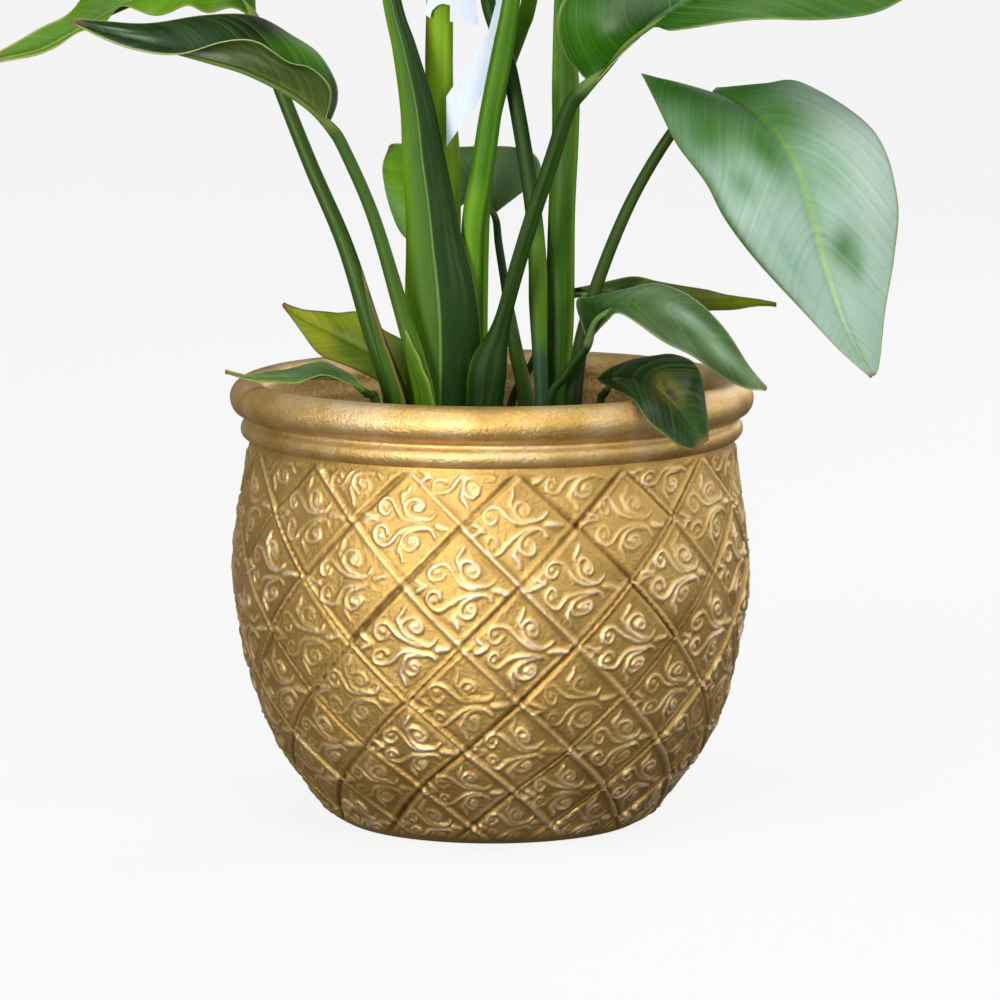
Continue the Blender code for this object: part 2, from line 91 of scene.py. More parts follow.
# Each stalk from its foot to its neck: x, y, z and half its width
STALKS = {
    "left_arching": [
        (-50, -4, 190, 5.5), (-53, -6, 233, 7), (-57, -6, 248, 6.5), (-66, -5, 273, 5.6),
        (-81, 0, 320, 4.6), (-100, 6, 364, 4.2), (-118, 12, 409, 3.9), (-130, 15, 441, 3.6),
    ],
    "left_low": [
        (-36, -10, 190, 5), (-36.6, -14, 232, 6), (-41.8, -16, 258, 5.4), (-51, -18, 291, 4.4),
        (-65, -25, 339, 3.6), (-80, -33, 375, 3.4), (-87, -36, 387, 3.2),
    ],
    "left_mottled": [(-50, 13, 190, 2.5), (-49, 14, 218, 2.5), (-50, 15, 234, 2.5)],
    "left_rim": [(-62, -18, 190, 2.6), (-64, -22, 235, 2.6), (-68, -26, 240, 2.3), (-71, -30, 243, 2)],
    "centre_broad": [
        (-27, 4, 190, 16), (-27.2, 2, 232, 20.4), (-27.2, 1, 272, 21), (-29, 2, 298, 19.2),
        (-31.6, 3, 320, 16), (-34, 4, 342, 13.8), (-37.5, 5, 367, 12), (-41, 6, 396, 9.6),
        (-48, 8, 428, 6.8), (-55, 10, 455, 5.2), (-66, 12, 520, 4.6), (-84, 14, 600, 4.2),
        (-104, 18, 680, 3.8),
    ],
    "back_pale": [
        (-20, 26, 190, 5), (-22, 24, 230, 5.5), (-23, 26, 287, 6), (-25, 30, 365, 7.5),
        (-29, 32, 404, 7.8), (-29, 34, 448, 7.5), (-29, 38, 520, 5), (-26, 48, 600, 4),
    ],
    "centre_tall": [
        (-9, 15, 190, 5.5), (-10, 14, 231, 6.3), (-10.6, 12, 271, 6.3), (-10.8, 12, 306, 6.4),
        (-9.8, 11, 334, 6.6), (-5, 10, 362, 6.6), (-0.2, 9, 394, 6.2), (6, 8, 426, 6), (11, 7, 455, 5),
        (20, 6, 520, 4.6), (33, 2, 610, 4.2), (50, -4, 720, 3.8),
    ],
    "back_right": [
        (-5.5, 32, 190, 4.5), (-6.5, 31, 229, 4.5), (-6.5, 34, 286, 4.5), (-5, 36, 340, 4.5),
        (-1, 38, 378, 4.5), (6, 39, 409, 4.6), (16, 38, 437, 4.6), (21, 37, 453, 4.5), (34, 42, 520, 4.2),
        (54, 50, 600, 4), (68, 58, 645, 3.6),
    ],
    "back_dark": [
        (27.5, 7, 190, 3.8), (27.9, 8, 232, 3.8), (26.8, 9, 262, 4.5), (26, 10, 288, 5.4),
        (25.6, 12, 308, 5.2), (23.4, 15, 336, 4.7), (19, 18, 366, 4.5), (14, 22, 395, 4.4),
        (9, 24, 420, 4.2), (3, 25, 437, 4.2), (-2, 26, 454, 4.2), (-5, 23, 482, 4), (-12, 15, 525, 3.8),
        (-24, 4, 570, 3.6), (-38, -8, 615, 3.4),
    ],
    "front_crossing": [
        (-3.9, -9, 190, 9), (-3.9, -10, 230, 10.3), (-1.9, -11, 253, 10.6), (3.4, -12, 270, 6.3),
        (7.3, -14, 284, 4.5), (14, -18, 309, 4.4), (23, -22, 339, 4.4), (33, -26, 369, 4.4),
        (42, -31, 397, 4.2), (50, -33, 408, 4),
    ],
    "right_tall": [
        (36, 21, 190, 5.4), (37, 22, 230, 5.8), (38, 24, 275, 8), (39, 24, 335, 7.6), (41, 24, 380, 7.6),
        (41, 23, 410, 7.6), (39, 22, 454, 4.4), (42, 24, 520, 4.2), (50, 28, 620, 4), (58, 32, 700, 3.6),
    ],
    "right_large": [
        (44, -2, 190, 5), (45, -2, 233, 5.2), (50, -4, 268, 4.2), (60, -8, 304, 3.6), (77, -14, 346, 3.3),
        (97, -20, 381, 3.1), (113, -13, 398, 2.6),
    ],
    "right_low": [
        (30, -10, 190, 2.5), (32, -12, 234, 2.5), (41, -14, 249, 2.6), (49, -17, 261, 2.8),
        (53, -19, 267, 2.6),
    ],
    "right_behind": [
        (12, 42, 190, 2.4), (11, 42, 226, 2.4), (23, 40, 250, 2.3), (34, 37, 274, 2.2), (41, 35, 287, 2),
    ],
    "right_rim": [(58, -18, 190, 2.2), (60, -20, 234, 2.2), (62, -25, 240, 2.2), (64, -30, 244, 2)],
    "back_centre": [
        (18, 30, 190, 4), (19, 30, 229, 4.5), (13, 38, 260, 4), (8, 44, 291, 2.6), (4, 47, 316, 2.3),
        (2, 49, 331, 2),
    ],
}

# Depth of a stalk's section as a share of its width
STALK_DEPTH = {"centre_broad": 0.4, "front_crossing": 0.7, "back_pale": 0.85}
USUAL_STALK_DEPTH = 0.9

# Each low blade from its neck to its tip, as rows of midrib, far margin and near margin
BLADES = {
    "left_arching": [
        ((-131, 16, 446), (-130, 17, 447), (-133, 15, 445)),
        ((-139, 20, 456), (-133, 30, 464), (-144, 10, 450)),
        ((-153, 26, 464), (-146, 44, 482), (-158, 6, 449)),
        ((-169, 30, 465), (-165, 50, 489), (-169, 4, 450)),
        ((-185, 32, 460), (-186, 50, 487), (-188, 8, 448)),
        ((-201, 33, 452), (-205, 46, 476), (-204, 16, 449)),
        ((-218, 33, 444), (-226, 40, 458), (-218, 24, 441)),
        ((-234, 32, 435), (-240, 36, 443), (-230, 26, 434)),
        ((-252, 31, 426), (-258, 33, 434), (-251, 28, 424)),
        ((-280, 30, 420), (-280, 30, 422), (-279, 30, 418)),
    ],
    "left_low": [
        ((-89, -38, 391), (-87, -37, 392), (-91, -39, 390)),
        ((-95, -42, 398), (-84, -30, 402), (-87, -56, 409)),
        ((-105, -46, 406), (-86, -24, 413), (-97, -64, 422)),
        ((-119, -50, 414), (-95, -20, 428), (-109, -70, 426)),
        ((-134, -54, 421), (-108, -20, 437), (-126, -74, 436)),
        ((-151, -57, 426), (-129, -24, 447), (-144, -75, 436)),
        ((-170, -58, 431), (-156, -32, 448), (-168, -72, 430)),
        ((-189, -58, 436), (-185, -42, 445), (-192, -66, 432)),
        ((-208, -57, 441), (-207, -48, 446), (-209, -61, 437)),
        ((-227, -56, 447), (-226, -55, 448), (-227, -57, 446)),
    ],
    "left_mottled": [
        ((-51, 16, 237), (-49, 17, 238), (-53, 15, 236)), ((-54, 20, 246), (-48, 28, 261), (-60, 16, 241)),
        ((-64, 24, 255), (-61, 32, 270), (-71, 18, 246)), ((-77, 27, 262), (-74, 35, 279), (-84, 20, 252)),
        ((-91, 29, 269), (-88, 34, 279), (-97, 22, 257)),
        ((-105, 30, 276), (-105, 31, 281), (-107, 27, 270)),
        ((-117, 30, 284), (-116, 30, 285), (-117, 30, 283)),
    ],
    "left_rim": [
        ((-72, -32, 245), (-71, -31, 246), (-73, -33, 244)),
        ((-78, -37, 250), (-80, -33, 254), (-79, -40, 248)),
        ((-91, -44, 253), (-91, -36, 259), (-93, -50, 253)),
        ((-106, -50, 253), (-105, -42, 258), (-107, -56, 250)),
        ((-121, -52, 253), (-120, -46, 255), (-120, -57, 250)),
        ((-133, -52, 253), (-132, -50, 254), (-134, -54, 252)),
        ((-145, -52, 256), (-145, -51, 257), (-145, -53, 255)),
    ],
    "back_centre": [
        ((2, 50, 334), (4, 50, 335), (0, 49, 333)), ((-5, 56, 341), (26, 60, 352), (-13, 54, 338)),
        ((-14, 62, 346), (23, 72, 366), (-16, 56, 337)), ((-26, 66, 351), (0, 78, 368), (-22, 58, 330)),
        ((-40, 68, 355), (-24, 78, 369), (-38, 58, 316)), ((-50, 68, 360), (-43, 74, 370), (-52, 60, 322)),
        ((-55, 67, 366), (-52, 69, 371), (-61, 62, 355)), ((-57, 66, 370), (-56, 66, 371), (-58, 65, 369)),
    ],
    "front_crossing": [
        ((54, -34, 412), (52, -33, 413), (56, -35, 411)), ((62, -38, 421), (48, -30, 417), (63, -42, 419)),
        ((73, -44, 432), (40, -30, 428), (75, -48, 432)), ((83, -50, 441), (37, -34, 450), (87, -52, 443)),
        ((95, -54, 450), (52, -36, 474), (97, -62, 442)),
        ((115, -58, 461), (87, -38, 496), (120, -72, 445)),
        ((142, -60, 468), (130, -42, 508), (147, -78, 448)),
        ((172, -60, 470), (170, -46, 507), (176, -78, 449)),
        ((201, -59, 469), (205, -50, 493), (206, -70, 452)),
        ((227, -58, 470), (231, -54, 480), (225, -62, 460)),
        ((246, -57, 473), (247, -56, 474), (246, -58, 472)),
    ],
    "right_large": [
        ((121, -8, 405), (82, -20, 416), (124, 0, 407)), ((132, -22, 402), (90, -32, 401), (150, -6, 410)),
        ((150, -44, 391), (101, -46, 379), (171, -24, 410)),
        ((165, -62, 369), (116, -60, 359), (207, -52, 387)),
        ((173, -74, 343), (126, -72, 341), (219, -70, 353)),
        ((179, -82, 319), (144, -80, 318), (217, -80, 322)),
        ((188, -88, 291), (170, -86, 290), (212, -88, 294)),
        ((197, -91, 272), (187, -90, 272), (209, -92, 267)),
        ((205, -93, 258), (204, -93, 257), (207, -93, 259)),
    ],
    "right_low": [
        ((54, -21, 270), (52, -20, 272), (56, -24, 272)), ((59, -26, 281), (47, -16, 290), (63, -32, 281)),
        ((66, -34, 289), (53, -18, 293), (69, -38, 286)), ((81, -44, 292), (76, -26, 298), (80, -48, 281)),
        ((96, -52, 291), (92, -34, 302), (94, -58, 273)),
        ((111, -58, 283), (109, -44, 296), (109, -64, 265)),
        ((125, -62, 271), (127, -54, 279), (124, -66, 255)),
        ((138, -64, 259), (141, -62, 259), (139, -66, 248)),
        ((150, -65, 248), (150, -64, 249), (149, -66, 247)),
    ],
    "right_behind": [
        ((44, 34, 291), (43, 34, 292), (44, 33, 290)), ((58, 28, 290), (56, 30, 295), (59, 27, 286)),
        ((77, 20, 290), (78, 24, 300), (75, 17, 284)), ((96, 12, 289), (94, 16, 298), (96, 8, 281)),
        ((116, 6, 288), (116, 10, 295), (119, 2, 283)), ((132, 3, 288), (130, 5, 292), (133, 1, 284)),
        ((147, 2, 288), (147, 3, 290), (147, 1, 286)), ((158, 2, 287), (158, 3, 288), (158, 1, 286)),
    ],
    "right_rim": [
        ((58, -34, 249), (57, -34, 250), (59, -34, 248)), ((65, -52, 252), (66, -46, 258), (65, -60, 248)),
        ((75, -84, 256), (77, -68, 265), (73, -105, 249)),
        ((82, -100, 256), (88, -78, 267), (78, -123, 246)),
        ((89, -113, 254), (100, -88, 268), (83, -132, 239)),
        ((99, -123, 245), (111, -106, 264), (92, -135, 232)),
        ((106, -128, 235), (115, -118, 244), (101, -134, 225)),
        ((111, -130, 225), (116, -127, 228), (108, -132, 223)),
    ],
}

# Each tall blade: neck, heading and rise in degrees, length, width, droop and fold in degrees
TALL_BLADES = {
    "centre_broad": ((-106, 18, 685), 168, 66, 270, 112, 48, 24),
    "back_pale": ((-25, 50, 605), 98, 70, 235, 96, 40, 28),
    "centre_tall": ((51, -4, 725), -20, 74, 285, 118, 44, 22),
    "back_right": ((70, 60, 649), 42, 60, 240, 98, 46, 26),
    "back_dark": ((-40, -10, 619), 222, 56, 225, 88, 44, 30),
    "right_tall": ((59, 33, 705), 20, 68, 250, 104, 50, 24),
}

# The care label's card and its tail, as (x, z)
CARD_OUTLINE = [
    (-34, 444), (-33, 448), (-30, 451), (-27, 452), (-23, 451), (-23, 442), (-21, 442),
    (-20, 450), (-17, 447), (-15, 442), (-7, 440), (-9, 454), (-12, 484), (-36, 484), (-35, 456),
    (-37, 446),
]
CARD_FRONT = 24.0
TAIL_OUTLINE = [(-25, 373), (-6, 401), (10, 438), (13, 462), (5, 462), (-2, 436), (-25, 401)]
TAIL_FRONT = 16.6

# Colours of each blade's two faces, its margin and its rib, how it waves, and patches on its upper face, its
# under face or both, as (along, out, reach along, reach out, colour, strength), where out is -1 at the far
# margin and 1 at the near one; some patches are painted sheen, highlight or shadow, as marked
BLADE_LOOKS = {
    "left_arching": {
        "upper": (78, 116, 18), "under": (84, 112, 36), "edge": (176, 176, 104), "rib": (190, 198, 150),
        "wave": 3.0, "waves": 4.2, "belly": 3, "phase": 0.55,
        "patches": [
            (0.08, 0, 0.12, 0.9, (34, 58, 16), 0.9), (0.5, 0.75, 0.28, 0.45, (90, 136, 0), 0.9),
            (0.67, -0.2, 0.08, 0.5, (58, 98, 0), 0.8),
        ],
        "under_patches": [
            (0.08, 0, 0.12, 0.9, (36, 60, 18), 0.9), (0.5, 0.8, 0.32, 0.5, (92, 140, 0), 0.95),
            (0.67, -0.2, 0.08, 0.5, (58, 98, 0), 0.8), (0.8, 0.4, 0.2, 0.4, (120, 140, 76), 0.6),
        ],
    },
    "left_low": {
        "upper": (16, 48, 0), "under": (74, 96, 44), "edge": (168, 178, 118), "rib": (16, 40, 2),
        "wave": 0.8, "waves": 2.4, "belly": 4,
        "patches": [
            # On the upper face the second patch is painted shadow, a dark band across the far half, and the
            # last two are painted sheen, pale streaks near the tip
            (0.35, -0.85, 0.11, 0.55, (66, 118, 0), 0.95), (0.52, -0.9, 0.045, 0.6, (6, 18, 4), 0.95),
            (0.86, -0.3, 0.05, 0.07, (140, 160, 138), 0.6),
            (0.79, -0.12, 0.05, 0.05, (130, 152, 128), 0.5),
        ],
        "under_patches": [
            # The first three under patches are painted sheen, pale streaks along the middle of the near half
            (0.57, 0.15, 0.09, 0.10, (170, 178, 160), 0.75),
            (0.44, 0.3, 0.10, 0.08, (128, 146, 112), 0.6), (0.36, 0.55, 0.10, 0.08, (126, 142, 106), 0.5),
            (0.3, 0.85, 0.15, 0.2, (56, 88, 22), 0.7), (0.85, 0.5, 0.12, 0.5, (60, 96, 40), 0.7),
        ],
    },
    "left_mottled": {
        "upper": (118, 132, 4), "under": (120, 136, 6), "edge": (60, 58, 20), "wave": 1.2, "belly": 2,
        "both": [
            (0.8, -0.4, 0.12, 0.4, (152, 158, 36), 0.8), (0.5, 0.3, 0.12, 0.5, (70, 98, 2), 0.8),
            (0.68, 0.4, 0.08, 0.3, (150, 146, 34), 0.7), (0.25, 0, 0.18, 0.8, (48, 70, 4), 0.85),
            (0.6, -0.2, 0.04, 0.2, (84, 104, 4), 0.6),
        ],
    },
    "left_rim": {
        "upper": (76, 98, 60), "under": (70, 104, 6), "edge": (150, 160, 84), "wave": 1.0, "belly": 1.5,
        "patches": [
            (0.75, 0.5, 0.25, 0.4, (92, 126, 10), 0.85), (0.3, -0.2, 0.2, 0.3, (44, 70, 40), 0.7),
        ],
    },
    "back_centre": {
        "upper": (84, 112, 64), "under": (86, 110, 64), "edge": (150, 162, 90), "wave": 2.2, "belly": 3,
        "both": [
            (0.82, 0.3, 0.3, 0.9, (98, 150, 0), 0.98), (0.98, 0.95, 0.03, 0.14, (104, 72, 40), 0.9),
        ],
        "under_patches": [
            (0.3, -0.6, 0.1, 0.5, (110, 132, 92), 0.6), (0.45, -0.8, 0.08, 0.3, (50, 80, 26), 0.7),
        ],
    },
    "front_crossing": {
        "upper": (34, 80, 0), "under": (66, 92, 48), "edge": (160, 176, 96), "rib": (46, 88, 4),
        "wave": 2.4, "waves": 2.6, "belly": 3.5,
        "patches": [
            # The second patch, a small whitish spot on the lobe, is a painted highlight
            (0.24, -0.6, 0.10, 0.4, (52, 108, 0), 0.7), (0.30, -0.35, 0.03, 0.10, (150, 164, 140), 0.4),
            (0.36, -0.1, 0.06, 0.3, (22, 52, 6), 0.8), (0.75, 0.5, 0.25, 0.6, (70, 108, 40), 0.6),
        ],
        "under_patches": [
            (0.65, 0.4, 0.2, 0.5, (100, 118, 84), 0.75), (0.5, 0.2, 0.08, 0.3, (120, 136, 108), 0.6),
            (0.95, 0.3, 0.1, 0.8, (50, 96, 12), 0.8),
        ],
    },
    "right_large": {
        # The pale blue white upper colour is partly the blade's waxy bloom and partly painted sheen; the
        # greener patches are where no sheen is painted, and the palest patch is brighter painted sheen
        "upper": (140, 166, 152), "under": (84, 116, 66), "edge": (150, 170, 96), "rib": (172, 204, 84),
        "wave": 1.4, "waves": 2.2, "belly": 5, "veins": 1.7,
        "patches": [
            (0.06, -0.6, 0.16, 1.1, (44, 92, 12), 1.0), (0.25, -0.62, 0.09, 0.34, (52, 102, 26), 0.95),
            (0.11, 0.4, 0.14, 1.1, (44, 96, 8), 1.0), (0.27, 0.2, 0.09, 0.45, (60, 112, 36), 0.8),
            (0.33, -0.2, 0.09, 0.18, (52, 104, 30), 0.9), (0.41, -0.62, 0.045, 0.14, (70, 116, 74), 0.75),
            (0.60, 0.27, 0.055, 0.2, (44, 96, 36), 0.95), (0.64, 0.42, 0.04, 0.12, (70, 118, 64), 0.7),
            (0.52, -0.98, 0.32, 0.07, (52, 92, 30), 0.9), (0.62, -0.5, 0.08, 0.2, (108, 144, 122), 0.6),
            (0.88, -0.3, 0.08, 0.5, (120, 158, 126), 0.6), (0.42, 0.3, 0.05, 0.3, (98, 140, 104), 0.6),
            (0.48, 0.02, 0.12, 0.08, (92, 136, 90), 0.6), (0.45, 0.75, 0.15, 0.3, (164, 182, 174), 0.8),
        ],
    },
    "right_low": {
        "upper": (64, 90, 50), "under": (66, 92, 50), "edge": (176, 188, 140), "rib": (60, 88, 44),
        "wave": 1.2, "belly": 3,
        "patches": [
            (0.05, 0, 0.12, 1.4, (18, 48, 0), 1.0), (0.2, -0.4, 0.10, 0.6, (26, 62, 0), 1.0),
            # The four pale blue grey patches here are painted sheen streaks
            (0.60, 0.0, 0.10, 0.22, (122, 150, 130), 0.75), (0.76, 0.2, 0.09, 0.3, (130, 158, 126), 0.8),
            (0.45, -0.6, 0.12, 0.3, (104, 130, 98), 0.6), (0.55, 0.5, 0.1, 0.25, (48, 72, 30), 0.7),
            (0.92, 0, 0.08, 0.8, (118, 146, 110), 0.7), (0.34, 0.3, 0.06, 0.4, (54, 84, 30), 0.7),
        ],
        "under_patches": [(0.06, 0, 0.14, 1.2, (28, 66, 0), 1.0)],
    },
    "right_behind": {
        "upper": (34, 62, 0), "under": (60, 90, 4), "edge": (96, 100, 40), "wave": 1.0, "belly": 1.5,
        "patches": [(0.75, 0, 0.28, 1.4, (128, 144, 8), 0.95)],
        "under_patches": [(0.2, 0, 0.2, 1, (34, 70, 0), 0.8), (0.75, 0, 0.3, 1.4, (134, 150, 14), 0.95)],
    },
    "right_rim": {
        "upper": (14, 36, 0), "under": (34, 62, 2), "edge": (120, 130, 66), "rib": (16, 40, 0),
        "wave": 1.2, "waves": 1.6, "belly": 4, "veins": 0.2,
        "patches": [
            (0.64, -0.08, 0.10, 0.24, (98, 96, 0), 0.85), (0.655, -0.08, 0.045, 0.085, (30, 12, 4), 1.0),
            (0.60, -0.16, 0.015, 0.06, (34, 16, 8), 0.9), (0.73, 0.0, 0.015, 0.05, (40, 20, 10), 0.8),
            (0.9, -0.2, 0.14, 0.8, (34, 70, 0), 0.85), (0.4, 0.5, 0.12, 0.5, (26, 54, 0), 0.7),
        ],
    },
    "centre_broad": {
        "upper": (50, 92, 18), "under": (88, 118, 58), "edge": (160, 170, 96), "wave": 3.0, "belly": 5,
        "rib": (130, 158, 70),
    },
    "back_pale": {
        "upper": (72, 114, 22), "under": (104, 132, 66), "edge": (168, 176, 100), "wave": 2.6, "belly": 4,
        "rib": (146, 170, 80),
    },
    "centre_tall": {
        "upper": (44, 86, 14), "under": (84, 114, 56), "edge": (158, 168, 96), "wave": 3.2, "belly": 5,
        "rib": (126, 156, 66),
    },
    "back_right": {
        "upper": (54, 98, 18), "under": (94, 124, 60), "edge": (160, 170, 96), "wave": 2.6, "belly": 4,
        "rib": (132, 160, 70),
    },
    "back_dark": {
        "upper": (36, 74, 14), "under": (78, 106, 54), "edge": (148, 152, 90), "wave": 2.4, "belly": 4,
        "rib": (116, 144, 60),
    },
    "right_tall": {
        "upper": (48, 90, 16), "under": (88, 118, 58), "edge": (158, 168, 96), "wave": 2.8, "belly": 5,
        "rib": (128, 156, 68),
    },
}

# How deep the channels down each stalk are, as (direction in degrees, width, depth); -90 faces the front
DENTS = [(-58, 26, 0.04), (122, 44, 0.12)]
# Stalk colours, and stripes down them as (direction, width, colour, strength, from height, to height)
STALK_LOOKS = {
    "left_arching": {
        "colour": (48, 74, 26), "low": (38, 68, 0), "stripes": [(-100, 10, (86, 112, 50), 0.5, 250, 440)],
    },
    "left_low": {
        "colour": (56, 84, 34), "low": (72, 106, 6),
        "stripes": [(-14, 7, (150, 166, 90), 0.8, 225, 275), (-95, 10, (76, 102, 46), 0.5, 250, 390)],
    },
    "centre_broad": {
        "colour": (46, 80, 2), "low": (46, 78, 0), "sides": 180, "split": (-93, (22, 48, 0)),
        "dents": [(100, 50, 0.14)],
        "stripes": [
            (-172, 44, (84, 124, 0), 0.9, 215, 560), (-93, 1.3, (120, 152, 84), 0.7, 225, 500),
            (-4, 5, (140, 136, 60), 0.85, 225, 345),
        ],
    },
    "back_pale": {
        "colour": (100, 136, 12), "low": (76, 118, 0),
        "stripes": [(-150, 13, (112, 96, 40), 0.8, 370, 470), (-60, 10, (134, 162, 50), 0.5, 300, 480)],
    },
    "centre_tall": {
        "colour": (56, 98, 4), "low": (90, 134, 6), "sides": 40,
        "stripes": [
            (-110, 60, (92, 136, 22), 0.7, 225, 360), (-58, 5, (104, 138, 50), 0.6, 225, 520),
            (-122, 5, (108, 142, 48), 0.6, 225, 480), (-172, 7, (150, 166, 80), 0.6, 225, 320),
        ],
    },
    "back_right": {
        "colour": (70, 106, 12), "low": (92, 144, 0),
        "stripes": [(-90, 70, (96, 150, 0), 0.85, 215, 340)],
    },
    "back_dark": {
        "colour": (30, 56, 12), "low": (44, 70, 56), "sides": 40,
        "stripes": [
            (-50, 80, (74, 110, 0), 0.95, 256, 334), (-8, 9, (78, 54, 28), 0.5, 320, 600),
            (-174, 8, (74, 52, 28), 0.7, 270, 600), (-95, 8, (52, 78, 34), 0.5, 225, 600),
        ],
    },
    "front_crossing": {
        "colour": (30, 56, 10), "low": (20, 44, 0),
        "dents": [(-70, 22, 0.16), (110, 44, 0.14)],
        "sides": 40,
        "stripes": [(-24, 4, (104, 130, 60), 0.5, 290, 412), (-160, 6, (96, 112, 40), 0.6, 225, 270)],
    },
    "right_tall": {
        "colour": (48, 82, 14), "low": (42, 76, 6), "sides": 40,
        "stripes": [
            (-150, 24, (92, 130, 36), 0.7, 400, 480), (-26, 15, (82, 134, 0), 0.95, 225, 480),
            (-48, 4, (92, 60, 30), 0.6, 240, 470), (-170, 6, (146, 154, 92), 0.8, 225, 340),
        ],
    },
    "right_large": {
        "colour": (42, 64, 20), "low": (20, 38, 4),
        "stripes": [(-164, 7, (96, 120, 54), 0.6, 225, 300), (-80, 9, (62, 88, 32), 0.5, 260, 400)],
    },
    "right_low": {"colour": (24, 48, 2), "low": (24, 48, 4), "midrib": 3},
    "right_behind": {"colour": (46, 76, 14), "low": (34, 58, 8)},
    "right_rim": {"colour": (26, 48, 4), "low": (22, 40, 4), "midrib": 3},
    "back_centre": {"colour": (44, 72, 34), "low": (62, 92, 22)},
    "left_mottled": {"colour": (86, 106, 18), "low": (60, 84, 10)},
    "left_rim": {"colour": (56, 82, 18), "low": (44, 66, 12)},
}
# Sheath flaps: rows of left and right edge, colour, and colour of the margin, which is the right edge
SHEATHS = [
    (
        "brown_left",
        [
            ((-71.6, -12, 308.5), (-71.1, -12, 307.6)), ((-69.4, -14, 293.2), (-66.5, -14, 291.5)),
            ((-66.3, -16, 275.7), (-60.6, -16, 274.6)), ((-62.0, -17, 259.7), (-55.4, -17, 258.9)),
            ((-56.5, -17, 241.4), (-49.0, -17, 240.4)), ((-52, -15, 222), (-46.1, -15, 222)),
        ],
        (46, 76, 2),
        (124, 98, 62),
    ),
    (
        "pale_left",
        [
            ((-47.4, -22, 275.6), (-47, -22, 275)), ((-46.9, -22, 264.2), (-41.3, -22, 263.6)),
            ((-43.6, -21, 253), (-36.9, -21, 252.4)), ((-40.4, -20, 241.8), (-32.7, -20, 241.2)),
            ((-39.3, -18, 226), (-30.5, -18, 226)),
        ],
        (62, 96, 4),
        (124, 146, 62),
    ),
]

LEAF_THICKNESS = 0.6
SHEATH_THICKNESS = 0.5
CARD_THICKNESS = 0.5
BLADE_CELLS_ACROSS = 40
BLADE_CELLS_ALONG = 84
# Side veins of a blade: mm between them, how high they stand, and how far they run on towards the tip
VEIN_SPACING = 9
VEIN_RISE = 0.2
VEIN_SLANT = 1.35
USUAL_WAVES = 3.0
USUAL_STALK_SIDES = 28
STALK_RINGS_PER_ROW = 9
LIGHT_THROUGH_LEAF = 0.2

WORLD_STRENGTH = 0.58
FLOOR_GLOW = 0.872
# Studio lamps: place, what they point at, size, power and colour
LAMPS = [
    ("left window", (-1.4, -2.7, 0.35), (0, 0, 0.2), (0.8, 1.9), 126, (1.0, 0.985, 0.96)),
    ("right window", (1.5, -2.6, 1.4), (0, 0, 0.25), (1.2, 1.2), 32, (1.0, 0.985, 0.96)),
    ("overhead", (-0.3, -0.9, 2.8), (0, 0, 0.4), (1.4, 1.4), 46, (0.97, 0.985, 1.0)),
    ("right edge", (2.4, 0.4, 1.0), (0, 0, 0.4), (0.6, 1.6), 20, (1.0, 1.0, 1.0)),
    ("back fill", (1.5, 2.6, 1.5), (0, 0, 0.4), (1.6, 1.6), 26, (1.0, 1.0, 1.0)),
]

# Scrolls of one diamond's upper half, as (across, up, width) in half diamonds; the lower half mirrors them
SCROLLS = [
    [(-0.35, 0.20, 0.8), (-0.385, 0.12, 0.9), (-0.48, 0.095, 0.9), (-0.56, 0.18, 1), (-0.55, 0.31, 1),
     (-0.445, 0.38, 1), (-0.32, 0.36, 1), (-0.215, 0.25, 1.1), (-0.09, 0.135, 1.2), (0.08, 0.07, 1.2),
     (0.26, 0.06, 1.1), (0.415, 0.095, 1), (0.50, 0.19, 0.7)],
    [(0.32, 0.10, 0.9), (0.17, 0.12, 1.1), (0.03, 0.18, 1.2), (-0.045, 0.29, 1.2), (-0.03, 0.41, 1.1),
     (0.08, 0.475, 1.1), (0.20, 0.43, 1), (0.25, 0.33, 1), (0.20, 0.25, 0.9), (0.11, 0.265, 0.9),
     (0.085, 0.33, 1.1)],
    [(-0.03, 0.68, 0.6), (-0.06, 0.57, 1.1), (-0.12, 0.47, 1.3), (-0.10, 0.38, 0.8), (-0.06, 0.28, 0.6)],
    [(-0.82, 0.11, 0.7), (-0.74, 0.07, 1.3), (-0.66, 0.03, 1), (-0.58, 0.03, 0.6)],
    [(0.50, 0.015, 0.8), (0.60, 0.02, 1.4), (0.74, 0.005, 0.7)],
]

# Round balls at the heart of the scrolls: across, up from the middle, radius and rise in mm
SCROLL_BALLS = [(-0.46, 0.25, 1.7, 0.75), (0.15, 0.35, 2.1, 1.0), (0.74, 0.0, 1.6, 0.8)]


def on_curve(points, place):
    """The point at place, from 0 to 1, on a smooth curve through the points."""
    last = len(points) - 1
    span = min(int(place * last), last - 1)
    t = place * last - span
    before = points[max(span - 1, 0)]
    start, end = points[span], points[span + 1]
    after = points[min(span + 2, last)]
    return (
        start
        + (end - before) * (t / 2)
        + (before * 2 - start * 5 + end * 4 - after) * (t * t / 2)
        + (start * 3 - before - end * 3 + after) * (t**3 / 2)
    )


def even_profile(points, count):
    """Points evenly spaced by length along a smooth line through (radius, height) points."""
    points = np.array(points, float)
    length = np.concatenate([[0], np.cumsum(np.hypot(*np.diff(points, axis=0).T))])
    slopes = np.gradient(points, length, axis=0)
    even = np.linspace(0, length[-1], count)
    span = np.clip(np.searchsorted(length, even, side="right") - 1, 0, len(points) - 2)
    step = (length[span + 1] - length[span])[:, None]
    t = (even - length[span])[:, None] / step
    start, end = points[span], points[span + 1]
    return (
        start * (2 * t**3 - 3 * t**2 + 1)
        + slopes[span] * step * (t**3 - 2 * t**2 + t)
        + end * (3 * t**2 - 2 * t**3)
        + slopes[span + 1] * step * (t**3 - t**2)
    )


def within(value):
    """The value, kept from 0 to 1."""
    return min(max(value, 0), 1)


def bell(away, reach, exp=math.exp):
    """1 at no distance, and falling softly towards 0 past the reach."""
    return exp(-((away / reach) ** 2))


